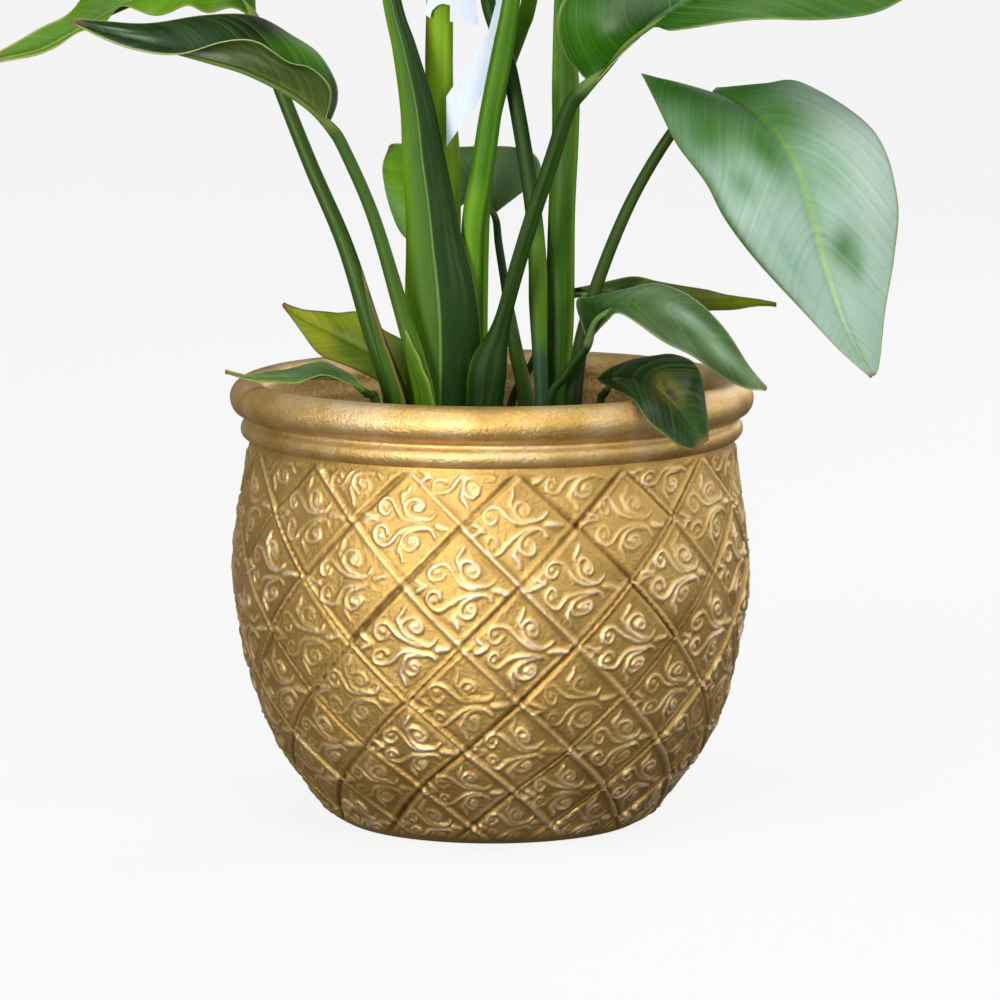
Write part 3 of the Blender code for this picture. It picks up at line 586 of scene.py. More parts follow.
def degrees_off(angle, centre):
    """How far an angle in radians lies from a direction in degrees, from -180 to 180."""
    return (math.degrees(angle) - centre + 180) % 360 - 180


def thicken(piece, name, thickness, offset=0, back_material=0):
    """Gives an open sheet its thickness in mm; back_material moves the back to a later material slot."""
    skin = piece.modifiers.new(name, "SOLIDIFY")
    skin.thickness = thickness * MM
    skin.offset = offset
    skin.material_offset = back_material


def finish_piece(bm, name, materials, nodes=()):
    """Turns millimetres to metres, links the piece, and says where it belongs."""
    bmesh.ops.scale(bm, verts=bm.verts, vec=(MM, MM, MM))
    mesh = bpy.data.meshes.new(name)
    bm.to_mesh(mesh)
    bm.free()
    mesh.shade_smooth()
    piece = bpy.data.objects.new(name, mesh)
    bpy.context.scene.collection.objects.link(piece)
    for material in materials:
        mesh.materials.append(material)
    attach(piece, "root")
    if nodes:
        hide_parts(*nodes)
    return piece


# ---------------------------------------------------------------- finishes


def paint(red, green, blue):
    """A colour on the usual 0 to 255 scale as the shader wants it."""
    return tuple(round((value / 255) ** 2.2, 4) for value in (red, green, blue)) + (1,)


def new_finish(name):
    material = bpy.data.materials.new(name)
    material.use_nodes = True
    tree = material.node_tree
    return material, tree, tree.nodes["Principled BSDF"]


def feed(tree, socket, value):
    """Joins another node's output to a socket, or sets the socket to a plain value."""
    if isinstance(value, bpy.types.NodeSocket):
        tree.links.new(value, socket)
    else:
        socket.default_value = value


def set_up(tree, node, **sockets):
    for key, value in sockets.items():
        feed(tree, node.inputs[key.replace("_", " ")], value)


def add(tree, kind, settings=None, **sockets):
    """Adds one node, with its settings and what its sockets take."""
    node = tree.nodes.new("ShaderNode" + kind)
    for key, value in (settings or {}).items():
        setattr(node, key, value)
    set_up(tree, node, **sockets)
    return node


def attribute(tree, name, output):
    return add(tree, "Attribute", {"attribute_name": name}).outputs[output]


def stretched(tree, source, scale):
    return add(tree, "Mapping", Vector=source, Scale=scale).outputs["Vector"]


def grain(tree, source, scale, detail=3.0, rough=0.55):
    return add(tree, "TexNoise", Vector=source, Scale=scale, Detail=detail, Roughness=rough).outputs["Fac"]


def ramp(tree, value, low, high, out_low=0.0, out_high=1.0):
    node = add(tree, "MapRange", Value=value, From_Min=low, From_Max=high, To_Min=out_low, To_Max=out_high)
    return node.outputs["Result"]


def sums(tree, operation, first, second):
    node = add(tree, "Math", {"operation": operation})
    feed(tree, node.inputs[0], first)
    feed(tree, node.inputs[1], second)
    return node.outputs[0]


def product(tree, first, second):
    return sums(tree, "MULTIPLY", first, second)


def weighted(tree, first, first_share, second, second_share):
    """The sum of two values, each times its share."""
    return sums(tree, "ADD", product(tree, first, first_share), product(tree, second, second_share))


def blend(tree, share, first, second, mode="MIX"):
    """Mixes two colours by share."""
    node = add(tree, "Mix", {"data_type": "RGBA", "blend_type": mode})
    for number, value in ((0, share), (6, first), (7, second)):
        feed(tree, node.inputs[number], value)
    return node.outputs[2]


def two_tones(tree, share, colour, darker, lighter):
    """The colour times a darker and a lighter tone, mixed by a value about its middle."""
    dark = blend(tree, 1.0, colour, (*darker, 1), "MULTIPLY")
    light = blend(tree, 1.0, colour, (*lighter, 1), "MULTIPLY")
    return blend(tree, ramp(tree, share, 0.35, 0.65), dark, light)


def bump(tree, shader, height, strength, distance):
    node = add(tree, "Bump", Height=height, Strength=strength, Distance=distance)
    tree.links.new(node.outputs["Normal"], shader.inputs["Normal"])


def own_place(tree):
    return add(tree, "TexCoord").outputs["Object"]


def gold_finish(name, relief=False):
    """Satin gold paint on clay: bronze in the hollows and bright on the high lines, painted shade and
    painted highlight led by the relief height, with pits and painted glints.
    """
    material, tree, shader = new_finish(name)
    place = own_place(tree)
    fine = grain(tree, place, 1500, 4, 0.6)
    sand = grain(tree, place, 520, 3, 0.6)
    broad = grain(tree, place, 30, 3)
    tone = weighted(tree, broad, 0.6, sand, 0.22)
    if relief:
        # Painted shade and highlight: the Relief height darkens the gold towards bronze in the hollows and
        # lightens it on the high lines
        tone = weighted(tree, attribute(tree, "Relief", "Fac"), 0.55, tone, 0.5)
    else:
        # Painted highlight: the smooth rim and foot are lifted a step lighter, standing in for the bright
        # light along the rolled rim
        tone = sums(tree, "ADD", tone, 0.12)
    low = blend(tree, ramp(tree, tone, 0.2, 0.5), paint(92, 62, 22), paint(190, 154, 88))
    gold = blend(tree, ramp(tree, tone, 0.5, 0.85), low, paint(236, 216, 184))
    cells = add(tree, "TexVoronoi", Vector=place, Scale=420)
    pit = ramp(tree, cells.outputs["Distance"], 0.06, 0.16)
    rare = ramp(tree, grain(tree, place, 260, 1), 0.60, 0.66)
    hole = product(tree, sums(tree, "SUBTRACT", 1.0, pit), rare)
    gold = blend(tree, product(tree, hole, 0.8), gold, paint(92, 60, 30))
    # Painted glints: pale gold specks painted into the colour, where the paint is also a little glossier
    painted_glint_cells = add(tree, "TexVoronoi", Vector=place, Scale=900)
    painted_glint = product(tree, ramp(tree, painted_glint_cells.outputs["Distance"], 0.13, 0.08),
                    ramp(tree, grain(tree, place, 140, 2), 0.58, 0.64))
    gold = blend(tree, painted_glint, gold, paint(255, 232, 170))
    rough = sums(tree, "SUBTRACT", ramp(tree, fine, 0.3, 0.7, 0.36, 0.52), product(tree, painted_glint, 0.2))
    set_up(tree, shader, Base_Color=gold, Roughness=rough, Metallic=0.76)
    surface = weighted(tree, sand, 0.7, fine, 0.35)
    surface = sums(tree, "SUBTRACT", surface, product(tree, hole, 0.9))
    bump(tree, shader, surface, 0.8, 0.0009)
    return material


def raw_clay_finish():
    """Inside of the pot: gold overspray at the mouth that thins out to rough orange brown clay."""
    material, tree, shader = new_finish("raw clay with gold overspray")
    place = own_place(tree)
    height = add(tree, "SeparateXYZ", Vector=place).outputs["Z"]
    cloudy = grain(tree, place, 55, 5, 0.65)
    rough = grain(tree, place, 420, 5, 0.65)
    edge = sums(tree, "ADD", height, product(tree, sums(tree, "SUBTRACT", cloudy, 0.5), 0.05))
    sprayed = ramp(tree, edge, 0.198, 0.218)
    clay = blend(tree, ramp(tree, rough, 0.35, 0.65), paint(84, 58, 32), paint(150, 108, 64))
    gold = blend(tree, ramp(tree, rough, 0.3, 0.7), paint(140, 106, 58), paint(216, 184, 122))
    set_up(tree, shader, Base_Color=blend(tree, sprayed, clay, gold),
           Metallic=ramp(tree, sprayed, 0, 1, 0.0, 0.7), Roughness=ramp(tree, rough, 0.3, 0.7, 0.5, 0.85))
    bump(tree, shader, rough, 0.8, 0.0012)
    return material


def leaf_finish(name, tint, roughness):
    """Leaf skin: its tint, broken by side veins, streaks and mottling, and lit through a little."""
    material, tree, shader = new_finish(name)
    along = attribute(tree, "Grain", "Vector")
    colour = attribute(tree, tint, "Color")
    streak = grain(tree, stretched(tree, along, (900, 22, 1)), 1, 4, 0.6)
    band = grain(tree, stretched(tree, along, (300, 7, 1)), 1, 2)
    mottle = grain(tree, own_place(tree), 210, 4, 0.6)
    vein = grain(tree, stretched(tree, along, (420, 9, 1)), 1, 2, 0.5)
    line = ramp(tree, vein, 0.56, 0.66)
    pale, dim = blend(tree, 0.10, colour, paint(196, 214, 150)), blend(tree, 0.5, colour, paint(16, 34, 8))
    shaded = two_tones(tree, band, colour, (0.86, 0.88, 0.84), (1.06, 1.05, 1.04))
    shaded = blend(tree, ramp(tree, streak, 0.45, 0.75, 0, 0.45), shaded, pale)
    shaded = blend(tree, ramp(tree, mottle, 0.55, 0.75, 0, 0.3), shaded, dim)
    shaded = blend(tree, product(tree, line, 0.07), shaded, paint(170, 196, 110))
    set_up(tree, shader, Base_Color=shaded, Specular_IOR_Level=0.2,
           Roughness=ramp(tree, streak, 0.3, 0.7, roughness - 0.06, roughness + 0.1))
    bump(tree, shader, weighted(tree, vein, 0.6, streak, 0.5), 0.4, 0.0004)
    glow = add(tree, "BsdfTranslucent", Color=blend(tree, 0.3, shaded, paint(140, 196, 10)))
    mixer = add(tree, "MixShader", Fac=LIGHT_THROUGH_LEAF)
    tree.links.new(shader.outputs[0], mixer.inputs[1])
    tree.links.new(glow.outputs[0], mixer.inputs[2])
    tree.links.new(mixer.outputs[0], tree.nodes["Material Output"].inputs["Surface"])
    return material


def stalk_finish():
    """Smooth leaf stalk with fine streaks along it, darker dots and a soft gloss."""
    material, tree, shader = new_finish("streaked green stalk")
    along = attribute(tree, "Grain", "Vector")
    colour = attribute(tree, "Tint", "Color")
    streak = grain(tree, stretched(tree, along, (9, 9, 14)), 1, 4, 0.6)
    patch = grain(tree, stretched(tree, along, (1.6, 1.6, 30)), 1, 3)
    dots = grain(tree, own_place(tree), 620, 3, 0.6)
    pale, dim = blend(tree, 0.10, colour, paint(204, 216, 130)), blend(tree, 0.4, colour, paint(30, 40, 10))
    shaded = two_tones(tree, patch, colour, (0.88, 0.88, 0.84), (1.08, 1.06, 1.04))
    shaded = blend(tree, ramp(tree, streak, 0.5, 0.75, 0, 0.5), shaded, pale)
    shaded = blend(tree, ramp(tree, dots, 0.6, 0.7, 0, 0.35), shaded, dim)
    set_up(tree, shader, Base_Color=shaded, Roughness=ramp(tree, streak, 0.3, 0.7, 0.46, 0.6),
           Specular_IOR_Level=0.15)
    bump(tree, shader, sums(tree, "ADD", streak, product(tree, dots, 0.4)), 0.4, 0.0004)
    return material


def peat_finish(name, dark, light):
    """Crumbly potting mix or bark chips."""
    material, tree, shader = new_finish(name)
    place = own_place(tree)
    crumb = grain(tree, place, 480, 6, 0.7)
    lump = grain(tree, place, 90, 3)
    tone = weighted(tree, crumb, 0.6, lump, 0.4)
    set_up(tree, shader, Base_Color=blend(tree, ramp(tree, tone, 0.4, 0.62), dark, light),
           Roughness=ramp(tree, crumb, 0.3, 0.7, 0.78, 1.0))
    bump(tree, shader, tone, 1.0, 0.002)
    return material


def paper_finish():
    """Slightly blue white label card with faint fibres."""
    material, tree, shader = new_finish("white label card")
    place = own_place(tree)
    fibre = grain(tree, stretched(tree, place, (900, 900, 240)), 1, 4, 0.6)
    cloud = grain(tree, place, 40, 2)
    tone = ramp(tree, weighted(tree, fibre, 0.5, cloud, 0.5), 0.35, 0.65)
    set_up(tree, shader, Base_Color=blend(tree, tone, paint(176, 188, 205), paint(192, 202, 217)),
           Roughness=ramp(tree, fibre, 0.3, 0.7, 0.42, 0.6))
    bump(tree, shader, fibre, 0.25, 0.0002)
    return material


def floor_finish():
    """Evenly lit pale floor that still takes a soft shadow."""
    material, tree, shader = new_finish("pale studio floor")
    cloud = grain(tree, own_place(tree), 0.6, 2)
    grey = blend(tree, ramp(tree, cloud, 0.3, 0.7), (0.055, 0.055, 0.055, 1), (0.06, 0.06, 0.06, 1))
    set_up(tree, shader, Base_Color=grey, Roughness=0.9, Specular_IOR_Level=0.1,
           Emission_Color=(1, 1, 1, 1), Emission_Strength=FLOOR_GLOW)
    return material


# ---------------------------------------------------------------- pot


def hand_lumps(azimuth, height):
    """Slow swells of a hand-pressed wall, in mm. Whole waves go round, so they meet at the back."""
    return (
        0.45 * np.sin(2 * azimuth + height / 46 + 0.8)
        + 0.35 * np.sin(5 * azimuth - height / 31 + 2.1)
        + 0.16 * np.sin(11 * azimuth + height / 13)
        + 0.10 * np.sin(23 * azimuth - height / 7.5 + 1.0)
    )


def soft_step(value, low, high):
    t = np.clip((value - low) / (high - low), 0, 1)
    return t * t * (3 - 2 * t)


def scroll_samples():
    """Short straight runs along every scroll and its mirror image, as (x0, y0, x1, y1, width)."""
    runs = []
    for line in SCROLLS:
        points = [Vector(point) for point in line]
        count = 5 * (len(points) - 1)
        smooth = [on_curve(points, number / count) for number in range(count + 1)]
        for start, end in zip(smooth, smooth[1:]):
            for side in (1, -1):
                runs.append((start.x, side * start.y, end.x, side * end.y, (start.z + end.z) / 2))
    return runs


def relief_height(azimuth, height, radius):
    """Height of the pressed pattern over the wall, in mm, and how high each point stands, from 0 to 1."""
    chance = np.random.default_rng(7)
    tiles = (2 * DIAMONDS_AROUND, RELIEF_ROWS)
    lines = (2 * DIAMONDS_AROUND, 2 * DIAMONDS_AROUND)
    tilt_across, tilt_up = chance.uniform(-1.15, 1.15, (2, *tiles))
    strength, breadth = chance.uniform(0.8, 1.5, tiles), chance.uniform(0.8, 1.25, tiles)
    turn, shift = chance.uniform(-0.14, 0.14, tiles), chance.uniform(-0.045, 0.045, (2, *tiles))
    falling, rising = chance.uniform(0.3, 1.25, lines), chance.uniform(-1.0, -0.3, lines)
    flip = chance.random((2, *lines)) < 0.22
    falling = np.where(flip[0], -0.8 * falling, falling)
    rising = np.where(flip[1], -0.8 * rising, rising)

    around = azimuth * DIAMONDS_AROUND / math.tau - DIAMOND_TURN
    up = np.interp(height, NODE_HEIGHTS, np.arange(len(NODE_HEIGHTS)))
    a, b = around + up / 2, around - up / 2
    cell_a, cell_b = np.floor(a).astype(int), np.floor(b).astype(int)
    column, row = (cell_a + cell_b) % (2 * DIAMONDS_AROUND), (cell_a - cell_b) % RELIEF_ROWS
    left_a, left_b = a - cell_a - 0.5, b - cell_b - 0.5
    across, rise = left_a + left_b, left_a - left_b
    half_width = math.pi * radius / DIAMONDS_AROUND
    half_height = np.interp(height, NODE_HEIGHTS, HALF_DIAMOND_HEIGHTS)

    slope = 0.5 * np.hypot(1 / half_width, 1 / half_height)
    from_a, from_b = (0.5 - np.abs(left_a)) / slope, (0.5 - np.abs(left_b)) / slope
    line_a, line_b = [np.round(value).astype(int) % DIAMONDS_AROUND for value in (a, b)]
    ridge_a, ridge_b = falling[line_a, column], rising[line_b, column]
    waver = 0.25 * np.sin(azimuth * 71 + height * 0.31)
    lattice = (
        ridge_a * (1.3 * bell(from_a + waver, 1.4, np.exp) - 0.4 * bell(from_a - 3.2, 1.3, np.exp))
        + ridge_b * (1.25 * bell(from_b + waver, 1.25, np.exp) - 0.6 * bell(from_b - 2.8, 1.2, np.exp))
    )
    nearest = np.minimum(from_a, from_b)
    tile = tilt_across[column, row] * across + tilt_up[column, row] * rise
    tile = tile * (1 - bell(nearest, 2.6, np.exp)) + 0.5 * np.clip(nearest / 20, 0, 1)

    angle = turn[column, row]
    sway_across = 0.03 * np.sin(azimuth * 37 + height * 0.11)
    sway_up = 0.03 * np.sin(azimuth * 29 - height * 0.14)
    x = across * np.cos(angle) - rise * np.sin(angle) + shift[0][column, row] + sway_across
    y = across * np.sin(angle) + rise * np.cos(angle) + shift[1][column, row] + sway_up
    nearest_scroll = np.full(azimuth.shape, 99.0)
    for x0, y0, x1, y1, width in scroll_samples():
        run_x, run_y = (x1 - x0) * half_width, (y1 - y0) * half_height
        off_x, off_y = (x - x0) * half_width, (y - y0) * half_height
        share = np.clip((off_x * run_x + off_y * run_y) / (run_x**2 + run_y**2 + 1e-9), 0, 1)
        away = np.hypot(off_x - share * run_x, off_y - share * run_y) / width
        nearest_scroll = np.minimum(nearest_scroll, away)
    nearest_scroll = nearest_scroll / breadth[column, row]
    raised = 1.1 * bell(nearest_scroll, 1.0, np.exp) - 0.35 * bell(nearest_scroll - 2.2, 0.8, np.exp)
    for ball_x, ball_y, reach, rise_of_ball in SCROLL_BALLS:
        away = np.hypot((x - ball_x) * half_width, (np.abs(y) - ball_y) * half_height)
        raised = np.maximum(raised, rise_of_ball * np.exp(-((away / reach) ** 4)))
    worn = 0.8 + 0.4 * np.sin(azimuth * 17 + height * 0.21) * np.sin(azimuth * 23 - height * 0.17)
    pattern = strength[column, row] * worn * raised

    low, high = POT_RELIEF_LIMITS
    kept = soft_step(height, low, low + 6) * (1 - soft_step(height, high - 5, high))
    dabs = 0.10 * np.sin(azimuth * 131 + 3 * np.sin(height * 0.5))
    dabs = dabs * np.sin(height * 1.1 + 2 * np.sin(azimuth * 47))
    total = (lattice + tile + pattern + dabs) * kept
    return total, np.clip(0.42 + 0.42 * (lattice * 0.8 + pattern) * kept, 0, 1)


def lathe(profile, steps, first=0.0, sweep=math.tau):
    """Turns (radius, height) points about the pot's axis, from azimuth first through sweep."""
    bm = bmesh.new()
    verts = [bm.verts.new((r * math.sin(first), -r * math.cos(first), z)) for r, z in profile]
    edges = [bm.edges.new(pair) for pair in zip(verts, verts[1:])]
    full = sweep == math.tau
    bmesh.ops.spin(bm, geom=verts + edges, cent=(0, 0, 0), axis=(0, 0, 1), angle=sweep, steps=steps,
                   use_merge=full)
    if full:
        bmesh.ops.remove_doubles(bm, verts=bm.verts, dist=0.005)
    return bm


def face_out(bm, centre):
    """Turns the faces of an open shell of revolution away from its centre."""
    bm.faces.ensure_lookup_table()
    face = bm.faces[len(bm.faces) // 2]
    if face.normal.dot(face.calc_center_median() - Vector(centre)) < 0:
        bmesh.ops.reverse_faces(bm, faces=bm.faces)


def pressed_wall(name, first_diamond, diamonds, material):
    """One stretch of the pot's pressed wall, fine enough to carry the scrolls as real relief."""
    turn = math.tau / DIAMONDS_AROUND
    profile = even_profile(WALL, BODY_ROWS)
    tangent = np.gradient(profile, axis=0)
    normal = np.stack([tangent[:, 1], -tangent[:, 0]], 1) / np.hypot(*tangent.T)[:, None]
    bm = bmesh.new()
    bmesh.ops.create_grid(bm, x_segments=COLUMNS_PER_DIAMOND * diamonds, y_segments=BODY_ROWS - 1, size=0.5)
    sheet = np.array([vert.co for vert in bm.verts]) + 0.5
    azimuth = (first_diamond + sheet[:, 0] * diamonds) * turn
    row = np.rint(sheet[:, 1] * (BODY_ROWS - 1)).astype(int)
    radius, height = profile[row].T
    relief, standing = relief_height(azimuth, height, radius)
    grown = relief + hand_lumps(azimuth, height) * soft_step(height, 0, 12)
    radius = radius + grown * normal[row, 0]
    height = height + grown * normal[row, 1]
    places = np.stack([radius * np.sin(azimuth), -radius * np.cos(azimuth), height], 1)
    # How high each point stands, which the gold finish turns into painted shade in the hollows and painted
    # highlight on the high lines
    layer = bm.verts.layers.float.new("Relief")
    for vert, place, value in zip(bm.verts, places.tolist(), standing.tolist()):
        vert.co = place
        vert[layer] = value
    return finish_piece(bm, name, [material], ["clay_pot"])


def turned_shell(profile, count, steps):
    """A turned stretch of the pot with the same hand-made swells as its wall."""
    bm = lathe(even_profile(profile, count), steps)
    bmesh.ops.recalc_face_normals(bm, faces=bm.faces)
    for vert in bm.verts:
        radius = math.hypot(vert.co.x, vert.co.y)
        if radius > 1:
            azimuth = math.atan2(vert.co.x, -vert.co.y)
            grow = 1 + float(hand_lumps(azimuth, vert.co.z)) / radius
            vert.co.x *= grow
            vert.co.y *= grow
    return bm


def rim_roll():
    """The rolled rim's outline, from under its outside over the top to its inside."""
    first, last, steps = math.radians(-60), math.radians(180), 12
    points = []
    for step in range(steps + 1):
        angle = first + (last - first) * step / steps
        across, up = RIM_ROLL_RADIUS * math.cos(angle), RIM_ROLL_RADIUS * math.sin(angle)
        points.append((RIM_CENTRE_RADIUS + across, RIM_CENTRE_HEIGHT + up))
    return points


def make_pot():
    pressed = gold_finish("pressed gold painted clay", relief=True)
    smooth = gold_finish("smooth gold painted clay")
    for name, first_diamond, diamonds in WALL_STRETCHES:
        pressed_wall(name, first_diamond, diamonds, pressed)
    rim = turned_shell(BAND + rim_roll()[1:], 76, 280)
    face_out(rim, (0, 0, RIM_CENTRE_HEIGHT - 60))
    finish_piece(rim, "pot_rim", [smooth], ["clay_pot"])
    inside = turned_shell(INSIDE, 44, 220)
    inside.normal_update()
    inside.faces.ensure_lookup_table()
    face = inside.faces[0]
    centre = face.calc_center_median()
    if face.normal.x * centre.x + face.normal.y * centre.y > 0:
        bmesh.ops.reverse_faces(inside, faces=inside.faces)
    finish_piece(inside, "pot_inside", [raw_clay_finish()], ["clay_pot"])
    foot = lathe([(0, 0), (40, 0), (70, 0), WALL[0]], 84)
    for face in foot.faces:
        if face.normal.z > 0:
            face.normal_flip()
    finish_piece(foot, "pot_foot", [smooth], ["clay_pot"])


# ---------------------------------------------------------------- potting mix


def mix_height(radius):
    """Height of the slightly domed potting mix, in mm."""
    return 202 - 3 * (radius / MIX_RADIUS) ** 2


def make_soil():
    """Crumbly potting mix with loose chips on it."""
    dark = peat_finish("crumbly potting mix", paint(26, 19, 14), paint(72, 54, 40))
    top = [(radius, mix_height(radius)) for radius in np.linspace(0, 121, 60)]
    bm = lathe(top + MIX_WALL, 150)
    bmesh.ops.recalc_face_normals(bm, faces=bm.faces)
    for vert in bm.verts:
        if vert.co.z > 198 and math.hypot(vert.co.x, vert.co.y) < 123:
            vert.co.z += sum(rise * noise.noise(vert.co / size) for rise, size in MIX_LUMPS)
    finish_piece(bm, "potting_mix", [dark], ["potting_soil"])
    chance = random.Random(11)
    chips = bmesh.new()
    for _ in range(BARK_CHIPS):
        reach, turn = 119 * math.sqrt(chance.random()), chance.uniform(0, math.tau)
        made = bmesh.ops.create_icosphere(chips, subdivisions=1, radius=1)["verts"]
        long, wide, thick = chance.uniform(1.5, 6), chance.uniform(1, 2.6), chance.uniform(0.6, 1.3)
        spin = chance.uniform(0, math.tau)
        for vert in made:
            x, y = vert.co.x * long * chance.uniform(0.8, 1.1), vert.co.y * wide
            place = (
                reach * math.cos(turn) + x * math.cos(spin) - y * math.sin(spin),
                reach * math.sin(turn) + x * math.sin(spin) + y * math.cos(spin),
                202.4 - 3 * (reach / MIX_RADIUS) ** 2 + vert.co.z * thick,
            )
            vert.co = place
    bark = peat_finish("bark chips", paint(60, 38, 22), paint(134, 96, 60))
    finish_piece(chips, "bark_chips", [bark])


# ---------------------------------------------------------------- plant


def leaf_rows(leaf):
    if leaf in BLADES:
        return BLADES[leaf]
    return paddle_rows(*TALL_BLADES[leaf])


def paddle_rows(neck, heading, rise, length, width, droop, fold):
    """Rows of a tall paddle blade that rises from its neck and bends over towards its tip."""
    rows = []
    count = 8
    point = Vector(neck)
    turn = math.radians(heading)
    side = Vector((-math.sin(turn), math.cos(turn), 0))
    for number in range(count + 1):
        share = number / count
        lift = math.radians(rise - droop * share**1.5)
        ahead = Vector((math.cos(turn) * math.cos(lift), math.sin(turn) * math.cos(lift), math.sin(lift)))
        up = ahead.cross(side) * -1
        half = max(width / 2 * math.sin(math.pi * share**0.8) ** 0.7, 1.5)
        reach = side * (half * math.cos(math.radians(fold)))
        raised = up * (half * math.sin(math.radians(fold)))
        rows.append((tuple(point), tuple(point + reach + raised), tuple(point - reach + raised)))
        point += ahead * (length / count)
    return rows


def mixed(first, second, share):
    share = within(share)
    return tuple(a + (b - a) * share for a, b in zip(first, second))


def patched(colour, patches, along, out):
    """The colour with every patch laid over it."""
    for centre_along, centre_out, reach_along, reach_out, patch, strength in patches:
        away = ((along - centre_along) / reach_along) ** 2 + ((out - centre_out) / reach_out) ** 2
        if away < 6:
            colour = mixed(colour, patch, strength * math.exp(-away))
    return colour


def make_blade(leaf, number, finishes):
    """A leaf blade with a keeled midrib, raised side veins, a waved pale margin and a dry tip."""
    look = BLADE_LOOKS[leaf]
    upper, under, edge = paint(*look["upper"]), paint(*look["under"]), paint(*look["edge"])
    rib = paint(*look["rib"]) if "rib" in look else mixed(upper, paint(150, 178, 80), 0.18)
    under_rib = mixed(under, paint(160, 180, 110), 0.3)
    patches, under_patches = [
        [(*patch[:4], paint(*patch[4]), patch[5]) for patch in [*look.get("both", ()), *look.get(face, ())]]
        for face in ("patches", "under_patches")
    ]
    bm = bmesh.new()
    bmesh.ops.create_grid(bm, x_segments=BLADE_CELLS_ACROSS, y_segments=BLADE_CELLS_ALONG, size=0.5)
    midribs, fars, nears = [[Vector(point) for point in line] for line in zip(*leaf_rows(leaf))]
    length = sum((end - start).length for start, end in zip(midribs, midribs[1:]))
    grain_layer = bm.verts.layers.float_vector.new("Grain")
    tint = bm.verts.layers.float_color.new("Tint")
    under_tint = bm.verts.layers.float_color.new("Under tint")
    dry = paint(120, 84, 48)
    middle_ahead = on_curve(midribs, 0.55) - on_curve(midribs, 0.45)
    upward = 1 if (on_curve(nears, 0.5) - on_curve(fars, 0.5)).cross(middle_ahead).z >= 0 else -1
    rows = {}
    for vert in bm.verts:
        key = round((vert.co.y + 0.5) * BLADE_CELLS_ALONG)
        if key not in rows:
            place = within(key / BLADE_CELLS_ALONG)
            ahead = on_curve(midribs, min(place + 0.02, 1)) - on_curve(midribs, max(place - 0.02, 0))
            rows[key] = (place, *[on_curve(line, place) for line in (midribs, fars, nears)], ahead)
        place, midrib, far, near, ahead = rows[key]
        out = vert.co.x * 2
        share = abs(out)
        spread = (far if out < 0 else near) - midrib
        half = spread.length
        from_rib, from_margin = share * half, (1 - share) * half
        normal = (near - far).cross(ahead).normalized()
        ends = math.sin(math.pi * within(place)) ** 0.6
        phase = (0.9 if out < 0 else 2.4) + number + look.get("phase", 0)
        ripple = look["wave"] * ends * share**2.2
        ripple = ripple * math.sin(math.tau * look.get("waves", USUAL_WAVES) * place + phase)
        slant = place * length - VEIN_SLANT * half * share**1.15
        vein_lift = look.get("veins", 1) * VEIN_RISE * math.sin(math.tau * slant / VEIN_SPACING)
        vein_lift = vein_lift * ends * share * (1 - share**6)
        swell = look["belly"] * ends * math.sin(math.pi * share) * upward
        keel = -0.9 * bell(from_rib, 1.5) * upward
        vert.co = midrib + spread * share**0.92 + normal * (ripple + vein_lift + swell * half / 40 + keel)
        vert[grain_layer] = (slant * MM, share * half * MM, number * 0.37)
        shaded = mixed(upper, edge, 0.85 * bell(from_margin, 0.9))
        shaded = mixed(shaded, rib, 0.9 * (1 - 0.6 * place) * bell(from_rib, 1.0 - 0.65 * place))
        below = mixed(under, edge, 0.85 * bell(from_margin, 0.9))
        below = mixed(below, under_rib, 0.8 * bell(from_rib, 1.6))
        tip = bell((1 - place) * length, 5)
        # Both tints carry the patches, among them the painted sheen, highlights and shadow marked in
        # BLADE_LOOKS
        vert[tint] = mixed(patched(shaded, patches, place, out), dry, tip)
        vert[under_tint] = mixed(patched(below, under_patches, place, out), dry, tip)
    ordered = finishes if upward > 0 else finishes[::-1]
    blade = finish_piece(bm, f"leaf_{leaf}", ordered, [f"blade_{leaf}"])
    thicken(blade, "Leaf thickness", LEAF_THICKNESS, back_material=1)


